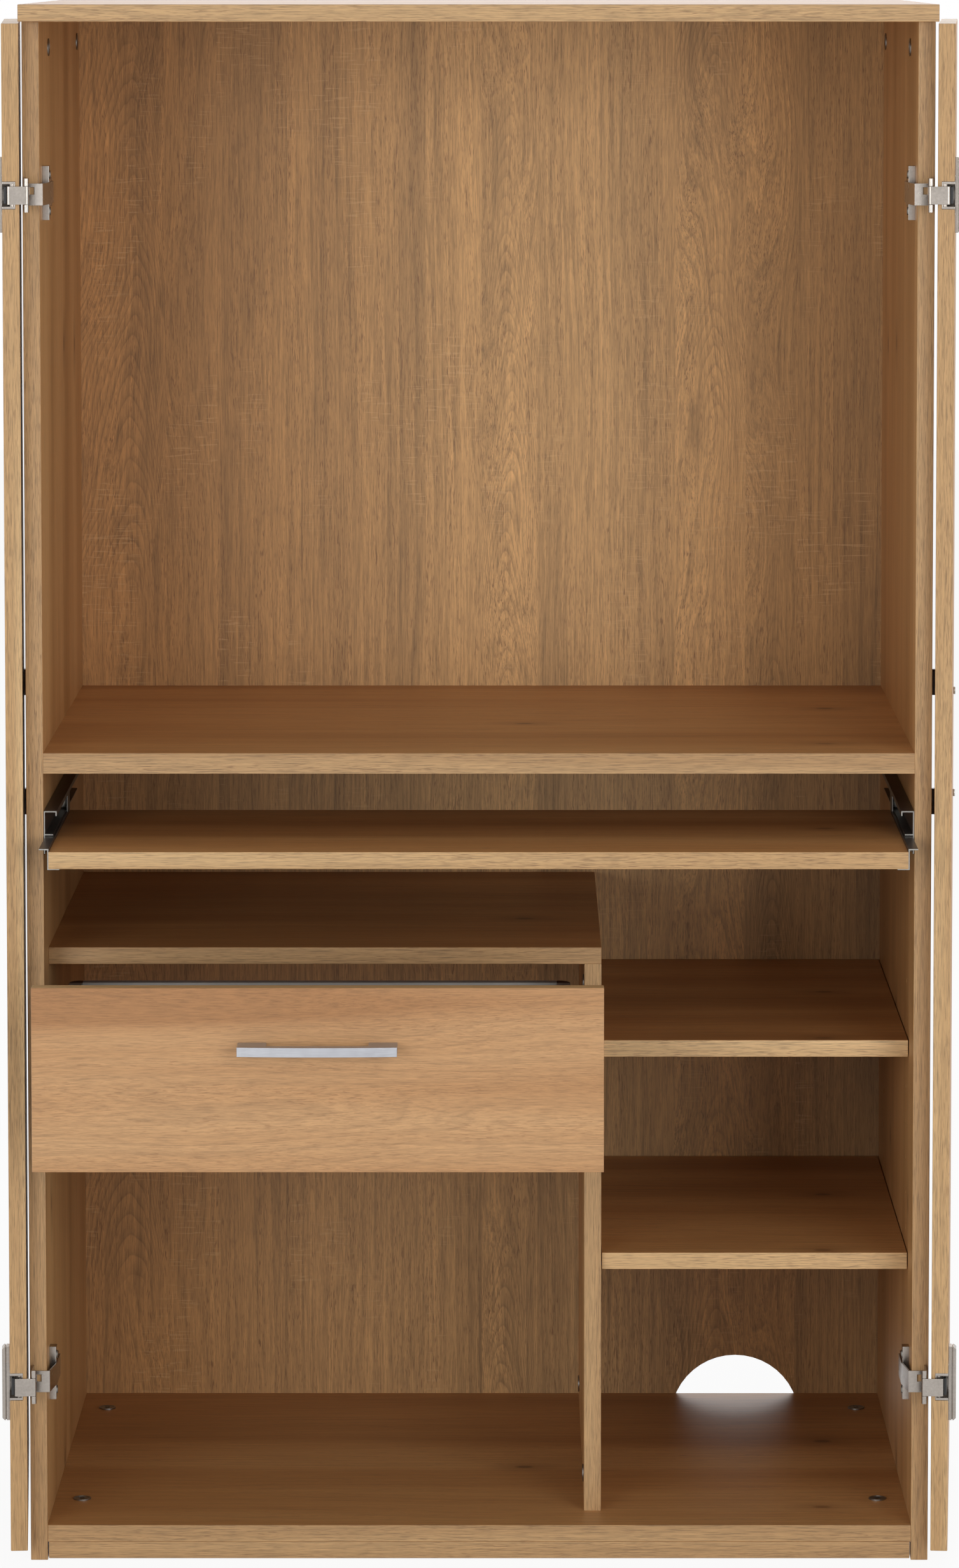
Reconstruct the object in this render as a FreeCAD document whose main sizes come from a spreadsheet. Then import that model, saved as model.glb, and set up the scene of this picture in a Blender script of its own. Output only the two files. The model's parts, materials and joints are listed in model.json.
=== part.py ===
import FreeCAD, Part
import math
import os
import re
import Sketcher

# Computer armoire: a tall cabinet of coated chipboard with a desk board, a pull-out keyboard tray,
# a drawer over an open bay, two adjustable shelves and two doors that fold right back on
# corner hinges. Millimetres, +Z up, the doors at the -Y side. Depths are counted from the front
# edges of the sides, heights from the floor and widths from the cabinet's middle.

DRAWING = FreeCAD.newDocument("computer_armoire")

# name, millimetres, what it is
SIZES = [
    # boards and body
    ("board", 15, "thickness of the coated boards"),
    ("desk_board_thickness", 18, "thickness of the desk board"),
    ("body_width", 796, "width over the two sides"),
    ("side_height", 1363, "height of the sides"),
    ("side_depth", 510, "depth of the sides"),
    ("top_board_end", 2, "top board beyond the outer face of each side"),
    ("top_board_overhang", 17, "top board in front of the sides, over the doors"),
    ("bottom_board_height", 16.5, "floor to the underside of the bottom board"),
    ("plinth_gap", 1.5, "floor to the plinth rail"),
    ("plinth_end_gap", 1, "plinth rail to each side"),
    ("desk_top_height", 721.5, "floor to the top of the desk board"),
    # back panel and its grooves
    ("back_sheet", 3, "thickness of the back panel"),
    ("back_inset", 8, "rear edge of the sides to the back panel"),
    ("groove_depth", 7, "depth of the groove that holds the back panel"),
    ("groove_play", 0.1, "play on each side of a sheet in its groove"),
    ("groove_end_gap", 0.5, "edge of a sheet to the bottom of its groove"),
    ("cable_hole_offset", 245, "cabinet's middle to the middle of the cable hole"),
    ("cable_hole_centre", 7, "floor to the centre of the cable hole's arch"),
    ("cable_hole_radius", 62, "radius of the cable hole's arch"),
    # drawer module and shelves
    ("module_setback", 51, "sides' front edge to the front of the divider"),
    ("divider_offset", 93.6, "cabinet's middle to the divider's left face"),
    ("module_height", 541, "floor to the top of the board over the drawer"),
    ("shelf_setback", 57, "sides' front edge to the front of the shelves"),
    ("shelf_end_gap", 0.8, "end of a shelf to the board beside it"),
    ("shelf_back_gap", 2, "shelf to the back panel"),
    # rows of holes and shelf pins
    ("hole_pitch", 32, "spacing of the holes in a row"),
    ("hole_diameter", 5, "diameter of a row hole"),
    ("hole_depth", 12, "depth of a row hole"),
    ("first_hole_height", 55, "floor to the point that the rows count from"),
    ("row_setback", 97.6, "sides' front edge to the front row"),
    ("row_back_inset", 81.4, "back panel to the back row"),
    ("pin_diameter", 4.9, "diameter of a shelf pin"),
    ("pin_length", 20, "length of a shelf pin"),
    # cam locks and their bolts
    ("cam_diameter", 15, "diameter of a cam lock"),
    ("cam_depth", 12, "depth of a cam lock in its board"),
    ("cam_proud", 0.6, "how far a cam lock stands out of its board"),
    ("cam_edge_distance", 24, "cam lock's axis to the end of its board"),
    ("cam_play", 0.1, "play round a cam lock or a bolt"),
    ("bolt_diameter", 6, "diameter of a cam bolt"),
    ("bolt_grip", 11, "depth of a cam bolt in the board it is screwed to"),
    ("side_cam_front", 107, "sides' front edge to the front cam locks at the top"),
    ("side_cam_back", 48, "sides' rear edge to the back cam locks at the top"),
    ("board_cam_front", 93, "sides' front edge to the front cam locks of the boards"),
    ("board_cam_back", 61, "back panel to the back cam locks of the boards"),
    # doors
    ("door_middle_gap", 2, "gap between the closed doors"),
    ("door_top_gap", 1.5, "doors to the top board"),
    ("door_floor_gap", 14, "floor to the doors"),
    ("door_front_gap", 1, "sides' front edge to the closed doors"),
    ("door_edge_inset", 6, "side's outer face to the closed door's hinge edge"),
    ("door_handle_inset", 33, "door's free edge to the handle's middle"),
    ("door_handle_height", 688.7, "floor to the middle of the door handles"),
    ("handle_stop_gap", 0.3, "folded-back door handle to the side it rests on"),
    # corner hinges
    ("lower_hinge_rise", 147.3, "door's lower end to the middle of the lower hinge"),
    ("upper_hinge_drop", 149, "door's upper end to the middle of the upper hinge"),
    ("pivot_inset", 5.1, "side's outer face to the hinge pivot"),
    ("pivot_front", 22, "hinge pivot in front of the sides"),
    ("knuckle_radius", 2.35, "radius of the hinge knuckles"),
    ("knuckle_height", 29.7, "height of the three knuckles together"),
    ("leaf_height", 15.6, "height of the door's knuckle and leaf"),
    ("knuckle_gap", 0.3, "gap between two knuckles"),
    ("hinge_sheet", 1.2, "sheet thickness of the hinge leaf and bracket"),
    ("leaf_reach", 16.6, "pivot to the far side of the leaf's bend"),
    ("leaf_arm_length", 15, "pivot to the end of the leaf's arm in the cup"),
    ("leaf_round", 1.8, "rounding of the leaf's outer bend"),
    ("pin_radius", 1.3, "radius of a hinge pin"),
    ("pin_play", 0.06, "play of a hinge pin in the leaf"),
    ("bracket_height", 19.2, "height of the bracket's plate and arm"),
    ("bracket_front_gap", 0.3, "bracket's plate to the side's front edge"),
    ("bracket_bend", 1.6, "side's inner face to the bracket where it turns in"),
    ("bracket_window", 18, "pivot to the back of the bracket's window"),
    ("bracket_arm_rise", 31, "sides' front edge to where the arm lies on its plate"),
    ("bracket_arm_end", 67, "sides' front edge to the end of the arm"),
    ("slot_width", 4, "width of the slot in the bracket's plate"),
    ("slot_height", 6.3, "height of the slot in the bracket's plate"),
    ("slot_offset", 1.2, "pivot to the near side of the slot"),
    ("mount_thickness", 6, "thickness of the mounting plate"),
    ("mount_waist", 25, "height of the mounting plate's middle"),
    ("wing_height", 47.5, "height over the mounting plate's wings"),
    ("wing_depth", 12, "depth of the mounting plate's wings"),
    ("plate_screw_diameter", 4.9, "diameter of a mounting plate's screw"),
    ("cup_radius", 17.5, "radius of the bore for a hinge cup"),
    ("cup_depth", 11.5, "depth of the bore for a hinge cup"),
    ("cup_offset", 12.8, "door's hinge edge to the cup's centre"),
    ("cup_play", 0.1, "play round a hinge cup"),
    ("cup_wall", 1.2, "wall thickness of a hinge cup"),
    ("cup_pin_radius", 2.2, "radius of the cross pin in a hinge cup"),
    ("cup_pin_offset", 3.6, "door's hinge edge to the cross pin"),
    ("cup_pin_depth", 9, "door's inner face to the cross pin"),
    ("cup_pin_length", 25, "length of the cross pin"),
    ("flange_inset", 14, "door's hinge edge to the cup's flange"),
    ("flange_width", 12.5, "width of the cup's flange"),
    ("flange_height", 66, "height of the cup's flange"),
    ("flange_sheet", 3, "thickness of the flange and of its cover"),
    ("flange_slot", 0.8, "slot between the flange and its cover"),
    ("cover_chamfer", 2, "chamfer at the cover's ends"),
    ("catch_width", 10, "width of the closing catch in the cup"),
    ("catch_height", 15, "height of the closing catch"),
    ("catch_thickness", 2.6, "thickness of the closing catch"),
    ("catch_gap", 0.3, "leaf's arm to the closing catch"),
    # bow handles
    ("handle_length", 136.6, "length of a bow handle"),
    ("handle_width", 8.2, "width of a handle's bar"),
    ("handle_end_reach", 25, "how far the ends of a handle stand out"),
    ("handle_bow_radius", 934, "radius of the handle's bowed front"),
    ("handle_bar", 7, "thickness of the bar at its ends"),
    ("handle_foot", 24.5, "length of a handle's foot"),
    ("handle_screw_pitch", 96, "spacing of a handle's screws"),
    ("handle_inner_round", 3, "rounding inside a handle's bow"),
    ("screw_diameter", 4, "diameter of a handle screw"),
    ("screw_play", 0.2, "play round a handle screw in the wood"),
    ("screw_grip", 11, "handle screw's length in the foot"),
    ("screw_head_diameter", 7.2, "diameter of a handle screw's head"),
    ("screw_head_height", 1.8, "height of a handle screw's head"),
    # roller slides
    ("rail_sheet", 1.2, "sheet thickness of the slides"),
    ("tray_slide_space", 10.1, "side to tray, where the slide runs"),
    ("drawer_slide_space", 12, "cabinet to drawer box, where the slide runs"),
    ("channel_length", 300, "length of the channels on the cabinet"),
    ("channel_setback", 2, "front edge of the boards to a channel"),
    ("channel_height", 21.7, "height of a channel"),
    ("channel_lip", 4.5, "height of the lip on a channel's top"),
    ("channel_gap", 0.5, "running gap beside and over a rail"),
    ("channel_tab_length", 28, "length of the tab that carries the front roller"),
    ("channel_tab_drop", 16.3, "height of that tab below the channel"),
    ("rail_height", 18.5, "height of a rail on the tray or drawer"),
    ("rail_foot", 9.4, "how far a rail's foot reaches under what it carries"),
    ("rail_lug_length", 24, "length of the lug that carries the rear roller"),
    ("rail_lug_height", 15, "height of that lug over the rail"),
    ("rail_end_gap", 3, "rail to the ends of what it carries"),
    ("roller_width", 6.4, "width of a roller"),
    ("front_roller_radius", 7, "radius of a front roller"),
    ("rear_roller_radius", 9, "radius of a rear roller"),
    ("front_roller_setback", 14, "front end of a channel to its roller"),
    ("rear_roller_inset", 12, "rear end of a rail to its roller"),
    ("roller_gap", 0.3, "roller to what runs on it"),
    ("axle_radius", 2, "radius of a roller's axle"),
    ("axle_play", 0.08, "play of a roller on its axle"),
    # keyboard tray
    ("tray_depth", 262, "depth of the keyboard tray"),
    ("keyboard_room", 58, "tray's top to the underside of the desk board"),
    ("tray_out", 78, "how far the tray stands in front of the sides"),
    # drawer
    ("drawer_out", 196.5, "how far the drawer is pulled out"),
    ("drawer_front_gap", 0.8, "drawer front to the side, and to the divider's far edge"),
    ("drawer_front_play", 0.5, "closed drawer front to the module"),
    ("drawer_front_drop", 0.4, "module's top to the drawer front's top"),
    ("drawer_front_height", 159.6, "height of the drawer front"),
    ("drawer_wall", 12, "thickness of the drawer's walls"),
    ("drawer_wall_rise", 16, "drawer front's lower edge to the drawer's walls"),
    ("drawer_wall_height", 98, "height of the drawer's walls"),
    ("drawer_box_depth", 293, "depth of the drawer behind its front"),
    ("drawer_bottom_sheet", 3, "thickness of the drawer's bottom"),
    ("drawer_bottom_rise", 9, "lower edge of the walls to the drawer's bottom"),
    ("drawer_groove_depth", 6, "depth of the grooves for the drawer's bottom"),
    ("drawer_corner_round", 10, "rounding of the drawer's rear corner pieces"),
    ("drawer_handle_rise", 108.5, "drawer front's lower edge to the middle of its handle"),
]

# How many holes a row has, and how many spacings over first_hole_height its lowest hole and the
# pins of the two shelves are.
ROW_HOLE_COUNT = 12
ROW_START_COUNT = 3
LOWER_SHELF_COUNT = 6
UPPER_SHELF_COUNT = 12

# Directions: the sign that leads from a side towards the cabinet's middle.
SIDES = {"left": 1, "right": -1}

# ---------------------------------------------------------------- the sheet and its expressions

SHEET = DRAWING.addObject("Spreadsheet::Sheet", "sizes")
for row, (alias, value, meaning) in enumerate(SIZES, 1):
    SHEET.set(f"A{row}", meaning)
    SHEET.set(f"B{row}", str(value))
    SHEET.setAlias(f"B{row}", alias)
DRAWING.recompute()

NAMES = {alias for alias, value, meaning in SIZES}


def sized(text):
    """The expression with each size in it read from the sheet."""
    return re.sub(r"[a-z_]+", lambda word: f"sizes.{word[0]}" if word[0] in NAMES else word[0], text)


def size(alias):
    """The present value of one size."""
    return float(SHEET.get(alias))


def bind(thing, prop, text):
    thing.setExpression(prop, sized(text))


def add(*terms):
    return " + ".join(f"({term})" for term in terms)


def less(first, second):
    return f"({first}) - ({second})"


# ---------------------------------------------------------------- places shared by several pieces

INNER = "(body_width / 2 - board)"
BACK_FACE = "(side_depth - back_inset - back_sheet)"
BOTTOM_TOP = "(bottom_board_height + board)"
MODULE_TOP_UNDER = "(module_height - board)"
DIVIDER_RIGHT = "(divider_offset + board)"
DESK_UNDER = "(desk_top_height - desk_board_thickness)"
SHELF_PIN_HEIGHT = "(first_hole_height + {count} * hole_pitch)"
ROW_DEPTHS = ("row_setback", f"({BACK_FACE} - row_back_inset)")
SIDE_CAM_DEPTHS = ("side_cam_front", "(side_depth - side_cam_back)")
BOARD_CAM_DEPTHS = ("board_cam_front", f"({BACK_FACE} - board_cam_back)")

# the door in its hinge's own frame: x from the pivot towards the cabinet's middle, y to the back,
# with the door closed
DOOR_EDGE = "(door_edge_inset - pivot_inset)"
DOOR_INNER = "(pivot_front - door_front_gap)"
DOOR_OUTER = "(pivot_front - door_front_gap - board)"
DOOR_WIDTH = "(body_width / 2 - door_edge_inset - door_middle_gap / 2)"
DOOR_HANDLE = f"(door_edge_inset - pivot_inset + {DOOR_WIDTH} - door_handle_inset)"
CUP_CENTRE = "(door_edge_inset - pivot_inset + cup_offset)"
FLANGE_EDGE = "(door_edge_inset - pivot_inset + flange_inset)"
DOOR_HEIGHT = "(side_height - door_top_gap - door_floor_gap)"
HINGE_HEIGHTS = {
    "lower": "(door_floor_gap + lower_hinge_rise)",
    "upper": "(side_height - door_top_gap - upper_hinge_drop)",
}
INNER_FACE = "(board - pivot_inset)"
WING_SCREW = "(bracket_arm_rise + wing_depth / 2)"

# A handle's bow reaches furthest at its middle.
HANDLE_REACH = (
    "(handle_end_reach + handle_bow_radius - sqrt(handle_bow_radius ^ 2 - handle_length ^ 2 / 4))"
)
# A folded-back door rests on its handle: its angle off the side follows from the handle's reach.
STOP_ARM = f"({DOOR_HANDLE} - handle_width / 2)"
STOP_REACH = f"({HANDLE_REACH} - {DOOR_OUTER})"
STOP_OFFSET = "(pivot_inset + handle_stop_gap)"
FOLD_ANGLE = (
    f"(90 deg + atan({STOP_REACH} / {STOP_ARM})"
    f" + asin({STOP_OFFSET} / sqrt({STOP_ARM} ^ 2 + {STOP_REACH} ^ 2)))"
)

DRAWER_FACE = "(module_setback - drawer_front_play - board - drawer_out)"
DRAWER_BACK = "(module_setback - drawer_front_play - drawer_out + drawer_box_depth)"
DRAWER_LEFT = f"(drawer_slide_space - {INNER})"
DRAWER_RIGHT = "(divider_offset - drawer_slide_space)"
DRAWER_FRONT_LEFT = f"(drawer_front_gap - {INNER})"
DRAWER_FRONT_RIGHT = f"({DIVIDER_RIGHT} - drawer_front_gap)"
DRAWER_MIDDLE = f"(({DRAWER_FRONT_LEFT} + {DRAWER_FRONT_RIGHT}) / 2)"
DRAWER_FRONT_TOP = "(module_height - drawer_front_drop)"
DRAWER_FRONT_BOTTOM = f"({DRAWER_FRONT_TOP} - drawer_front_height)"
DRAWER_WALL_BOTTOM = f"({DRAWER_FRONT_BOTTOM} + drawer_wall_rise)"
DRAWER_HANDLE_HEIGHT = f"({DRAWER_FRONT_BOTTOM} + drawer_handle_rise)"
TRAY_BACK = "(tray_depth - tray_out)"
TRAY_TOP = "(desk_top_height - desk_board_thickness - keyboard_room)"
TRAY_UNDER = "(desk_top_height - desk_board_thickness - keyboard_room - board)"
TRAY_EDGE = f"({INNER} - tray_slide_space)"

# The origin is on the floor, below the middle of the whole: the depth runs from the drawer's
# handle to the rear edges of the sides.
ORIGIN_DEPTH = f"((side_depth + {DRAWER_FACE} - {HANDLE_REACH}) / 2)"

# ---------------------------------------------------------------- making bodies

PLANES = {"XY": ("XY_Plane", 1), "XZ": ("XZ_Plane", -1), "YZ": ("YZ_Plane", 1)}
NODES = []
CORNERS = {}


def place(thing, x, y, z):
    """Puts a piece's own zero at a depth, width and height of the cabinet."""
    bind(thing, "Placement.Base.x", x)
    bind(thing, "Placement.Base.y", less(y, ORIGIN_DEPTH))
    bind(thing, "Placement.Base.z", z)


def new_body(label, x="0", y="0", z="0", node=True):
    """An empty body whose own zero stands at the given place."""
    body = DRAWING.addObject("PartDesign::Body", label)
    body.Label = label
    place(body, x, y, z)
    CORNERS[body.Name] = (x, y, z)
    if node:
        NODES.append(body)
    return body


def new_sketch(body, plane, level="0"):
    """A sketch parallel to one of the body's origin planes, at a level along its normal."""
    role, normal = PLANES[plane]
    support = next(item for item in body.Origin.OriginFeatures if item.Role == role)
    sketch = body.newObject("Sketcher::SketchObject", f"{body.Name}_sketch")
    sketch.AttachmentSupport = [(support, "")]
    sketch.MapMode = "FlatFace"
    bind(sketch, "AttachmentOffset.Base.z", f"{normal} * ({level})")
    return sketch


def spot_at(sketch, point):
    """Where a point given as two expressions lies now."""
    across, upward = (float(sketch.evalExpression(sized(text))) for text in point)
    return FreeCAD.Vector(across, upward, 0)


def fix_point(sketch, index, end, point):
    """Ties one end of a line, or a circle's centre, to two expressions."""
    start = spot_at(sketch, point)
    for kind, text, value in zip(("DistanceX", "DistanceY"), point, start):
        rule = sketch.addConstraint(Sketcher.Constraint(kind, -1, 1, index, end, value))
        bind(sketch, f"Constraints[{rule}]", text)


def arc_between(start, end, radius, bulge):
    """An arc of that radius that bulges to the left (1) or right (-1) of the way to its end."""
    along = (end - start).normalize()
    left = FreeCAD.Vector(-along.y, along.x, 0)
    height = math.sqrt(radius ** 2 - (end - start).Length ** 2 / 4)
    centre = (start + end) * 0.5 - left * bulge * height
    first = math.atan2(start.y - centre.y, start.x - centre.x)
    last = math.atan2(end.y - centre.y, end.x - centre.x)
    forward = (last - first) % (2 * math.pi) < math.pi
    if not forward:
        first, last = last, first
    circle = Part.Circle(centre, FreeCAD.Vector(0, 0, 1), radius)
    return Part.ArcOfCircle(circle, first, last), forward


def outline(sketch, corners, arcs=None):
    """A closed outline through corners given as expressions; gives back where they lie.

    arcs names the sides that are bowed, by the number of their first corner: (size, bulge)."""
    arcs = arcs or {}
    spots = [spot_at(sketch, corner) for corner in corners]
    sides = []
    for number, start in enumerate(spots):
        end = spots[(number + 1) % len(spots)]
        ends = (1, 2)
        if number in arcs:
            alias, bulge = arcs[number]
            curve, forward = arc_between(start, end, size(alias), bulge)
            ends = (1, 2) if forward else (2, 1)
        else:
            curve = Part.LineSegment(start, end)
        sides.append((sketch.addGeometry(curve, False), *ends))
    for number, (index, first, last) in enumerate(sides):
        following, following_first, following_last = sides[(number + 1) % len(sides)]
        sketch.addConstraint(Sketcher.Constraint("Coincident", index, last, following, following_first))
        fix_point(sketch, index, first, corners[number])
        if number in arcs:
            alias = arcs[number][0]
            rule = sketch.addConstraint(Sketcher.Constraint("Radius", index, size(alias)))
            bind(sketch, f"Constraints[{rule}]", alias)
    return spots


def rectangle(sketch, low, high):
    return outline(sketch, [low, (high[0], low[1]), high, (low[0], high[1])])


def circles(sketch, centres, diameter):
    """Circles of one diameter round centres given as expressions."""
    across = float(sketch.evalExpression(sized(diameter)))
    for centre in centres:
        start = Part.Circle(spot_at(sketch, centre), FreeCAD.Vector(0, 0, 1), across / 2)
        index = sketch.addGeometry(start, False)
        fix_point(sketch, index, 3, centre)
        rule = sketch.addConstraint(Sketcher.Constraint("Diameter", index, across))
        bind(sketch, f"Constraints[{rule}]", diameter)


def polygons(sketch, centres, radius, sides):
    """Many-sided outlines for small bores, one round each centre, their first corners at the right."""
    for across, upward in centres:
        turns = [360 * number / sides for number in range(sides)]
        outline(sketch, [(f"({across}) + ({radius}) * cos({turn} deg)",
                          f"({upward}) + ({radius}) * sin({turn} deg)") for turn in turns])


def pad(body, sketch, plane, length, toward=1):
    """Adds the sketch's outline, drawn out along (1) or against (-1) the axis."""
    feature = body.newObject("PartDesign::Pad", f"{body.Name}_pad")
    feature.Profile = sketch
    bind(feature, "Length", length)
    feature.Reversed = toward * PLANES[plane][1] < 0
    return feature


def pocket(body, sketch, plane, depth, toward):
    """Cuts the sketch's outline away, along (1) or against (-1) the axis."""
    feature = body.newObject("PartDesign::Pocket", f"{body.Name}_pocket")
    feature.Profile = sketch
    bind(feature, "Length", depth)
    feature.Reversed = toward * PLANES[plane][1] > 0
    return feature


def pad_box(body, plane, level, low, high, length, toward=1):
    sketch = new_sketch(body, plane, level)
    spots = rectangle(sketch, low, high)
    pad(body, sketch, plane, length, toward)
    return sketch, spots


def cut_box(body, plane, level, low, high, depth, toward):
    sketch = new_sketch(body, plane, level)
    rectangle(sketch, low, high)
    return pocket(body, sketch, plane, depth, toward)


AXES = {"XY": (0, 1, 2), "XZ": (0, 2, 1), "YZ": (1, 2, 0)}

# Small round pieces and their bores repeat often, so they have flat sides, to keep the model light.
BAR_SIDES = 8
CAM_SIDES = 12
AXLE_SIDES = 16
HINGE_SIDES = 24

# How far a cut runs past the sheet metal that it cuts.
BEYOND = "2 * knuckle_radius"


def drill(body, plane, level, centres, radius, depth, toward, sides=0):
    """Holes at places of the cabinet, bored along (1) or against (-1) the axis.

    They are round, or have that many sides where they are small and many."""
    first, second, normal = AXES[plane]
    corner = CORNERS[body.Name]
    sketch = new_sketch(body, plane, less(level, corner[normal]))
    own = [(less(a, corner[first]), less(b, corner[second])) for a, b in centres]
    if sides:
        polygons(sketch, own, radius, sides)
    else:
        circles(sketch, own, f"2 * ({radius})")
    return pocket(body, sketch, plane, depth, toward)


def repeat(body, feature, role, count, length):
    """Repeats a feature in a straight row along one of the body's own axes."""
    axis = next(item for item in body.Origin.OriginFeatures if item.Role == role)
    row = body.newObject("PartDesign::LinearPattern", f"{body.Name}_row")
    row.Originals = [feature]
    row.Direction = (axis, [""])
    row.Occurrences = count
    bind(row, "Length", length)
    body.Tip = row
    return row


def dressed(body, kind, prop, reach, chosen):
    """Rounds or chamfers the edges that chosen picks from the body as it now is."""
    DRAWING.recompute()
    base = body.Tip
    edges = [f"Edge{n}" for n, edge in enumerate(base.Shape.Edges, 1) if chosen(edge)]
    feature = body.newObject(f"PartDesign::{kind}", f"{body.Name}_{kind.lower()}")
    feature.Base = (base, edges)
    bind(feature, prop, reach)
    return feature


def round_edges(body, radius, chosen):
    return dressed(body, "Fillet", "Radius", radius, chosen)


def chamfer_edges(body, reach, chosen):
    return dressed(body, "Chamfer", "Size", reach, chosen)


def along(edge, axis):
    """Whether a straight edge runs along one axis."""
    if edge.Curve.TypeId != "Part::GeomLine":
        return False
    return abs(abs(edge.Curve.Direction[axis]) - 1) < 1e-6


def through(spot, plane):
    """Picks the edges that stand on one spot of an outline, square to its plane."""
    first, second, normal = AXES[plane]

    def chosen(edge):
        middle = edge.CenterOfMass
        beside = math.hypot(middle[first] - spot.x, middle[second] - spot.y)
        return along(edge, normal) and beside < 1e-4
    return chosen


def slab(label, low, high):
    """A plain board between two opposite corners."""
    body = new_body(label, *low)
    reach = [less(b, a) for a, b in zip(low, high)]
    pad_box(body, "XY", "0", ("0", "0"), (reach[0], reach[1]), reach[2])
    return body


# ---------------------------------------------------------------- small round pieces

TURNS = {
    "x": FreeCAD.Rotation(FreeCAD.Vector(0, 1, 0), 90),
    "y": FreeCAD.Rotation(FreeCAD.Vector(1, 0, 0), -90),
    "z": FreeCAD.Rotation(),
}


def bar(name, axis, start, length, radius, sides=BAR_SIDES):
    """A small straight piece with flat sides, from a place of the cabinet along the axis."""
    item = DRAWING.addObject("Part::Prism", name)
    item.Polygon = sides
    item.Placement = FreeCAD.Placement(FreeCAD.Vector(), TURNS[axis])
    bind(item, "Height", length)
    bind(item, "Circumradius", radius)
    place(item, *start)
    return item


def fused(name, items):
    item = DRAWING.addObject("Part::MultiFuse", name)
    item.Shapes = items
    return item


def group(label, items):
    """Identical pieces kept together under one name, each a solid of its own."""
    item = DRAWING.addObject("Part::Compound", label)
    item.Label = label
    item.Links = items
    NODES.append(item)
    return item


def shifted(place_of, axis, distance):
    """A place moved along one axis."""
    moved = list(place_of)
    number = "xyz".index(axis)
    moved[number] = add(moved[number], distance)
    return moved


def stepped(name, axis, sign, seat, head_length, head_radius, shank_length, shank_radius):
    """A headed pin or screw: the head stands out from its seat, the shank goes in."""
    head_start = "0" if sign > 0 else f"-({head_length})"
    shank_start = f"-({shank_length})" if sign > 0 else "0"
    head = bar(f"{name}_head", axis, shifted(seat, axis, head_start), head_length, head_radius, CAM_SIDES)
    shank = bar(f"{name}_shank", axis, shifted(seat, axis, shank_start), shank_length, shank_radius)
    return fused(name, [head, shank])


# ---------------------------------------------------------------- cam locks

CAM_LOCKS = []
CAM_BOLTS = []
SQUARE_TO = {"x": "YZ", "y": "XZ", "z": "XY"}


def flat_place(spot, axis):
    """The two coordinates of a place in the plane square to an axis."""
    first, second, normal = AXES[SQUARE_TO[axis]]
    return spot[first], spot[second]


def cam_joint(name, board, mate, spot, facing, toward, thickness="board"):
    """A cam lock in one board that draws in a bolt screwed into the board it meets.

    spot is the lock's centre on the face that it is let into, facing is that face's way out and
    toward is the way to the other board, each as an axis and a sign."""
    face_axis, face_sign = facing
    bolt_axis, bolt_sign = toward
    face_number = "xyz".index(face_axis)
    bolt_number = "xyz".index(bolt_axis)
    bolt_spot = list(spot)
    bolt_spot[face_number] = add(spot[face_number], f"{-face_sign} * {thickness} / 2")
    end = add(spot[bolt_number], f"{bolt_sign} * cam_edge_distance")

    drill(board, SQUARE_TO[face_axis], spot[face_number], [flat_place(spot, face_axis)],
          "cam_diameter / 2 + cam_play", "cam_depth", -face_sign, CAM_SIDES)
    at = [flat_place(bolt_spot, bolt_axis)]
    bore = "bolt_diameter / 2 + cam_play"
    drill(board, SQUARE_TO[bolt_axis], end, at, bore, "cam_edge_distance", -bolt_sign, BAR_SIDES)
    drill(mate, SQUARE_TO[bolt_axis], end, at, bore, "bolt_grip", bolt_sign, BAR_SIDES)

    lock_start = "-(cam_depth)" if face_sign > 0 else "-(cam_proud)"
    lock = bar(f"{name}_lock", face_axis, shifted(spot, face_axis, lock_start),
               "cam_depth + cam_proud", "cam_diameter / 2", CAM_SIDES)
    CAM_LOCKS.append(lock)
    reach = "(cam_edge_distance - cam_diameter / 2 - cam_play)"
    bolt_start = list(bolt_spot)
    back = reach if bolt_sign > 0 else "bolt_grip - cam_play"
    bolt_start[bolt_number] = less(end, back)
    bolt = bar(f"{name}_bolt", bolt_axis, bolt_start, f"{reach} + bolt_grip - cam_play",
               "bolt_diameter / 2")
    CAM_BOLTS.append(bolt)


# ---------------------------------------------------------------- cabinet body

def side_panel(name, sign):
    """An upright side with the groove for the back panel."""
    outer = f"{-sign} * body_width / 2"
    inner = f"{-sign} * {INNER}"
    low, high = (outer, inner) if sign > 0 else (inner, outer)
    side = slab(f"{name}_side_panel", (low, "0", "0"), (high, "side_depth", "side_height"))
    groove_start = less(f"{BACK_FACE}", "groove_play")
    groove_end = add(BACK_FACE, "back_sheet", "groove_play")
    near = "board - groove_depth" if sign > 0 else "0"
    far = "board" if sign > 0 else "groove_depth"
    cut_box(side, "XY", "0", (near, groove_start), (far, groove_end), "side_height", 1)
    return side


SIDE = {name: side_panel(name, sign) for name, sign in SIDES.items()}

TOP_EDGE = "(body_width / 2 + top_board_end)"
TOP = slab("top_board", (f"-{TOP_EDGE}", "-top_board_overhang", "side_height"),
           (TOP_EDGE, "side_depth", "side_height + board"))
cut_box(TOP, "XY", "0",
        (less(TOP_EDGE, add(INNER, "groove_depth")),
         add(BACK_FACE, "top_board_overhang", "-groove_play")),
        (add(TOP_EDGE, INNER, "groove_depth"),
         add(BACK_FACE, "top_board_overhang", "back_sheet", "groove_play")),
        "groove_depth", 1)

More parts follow.
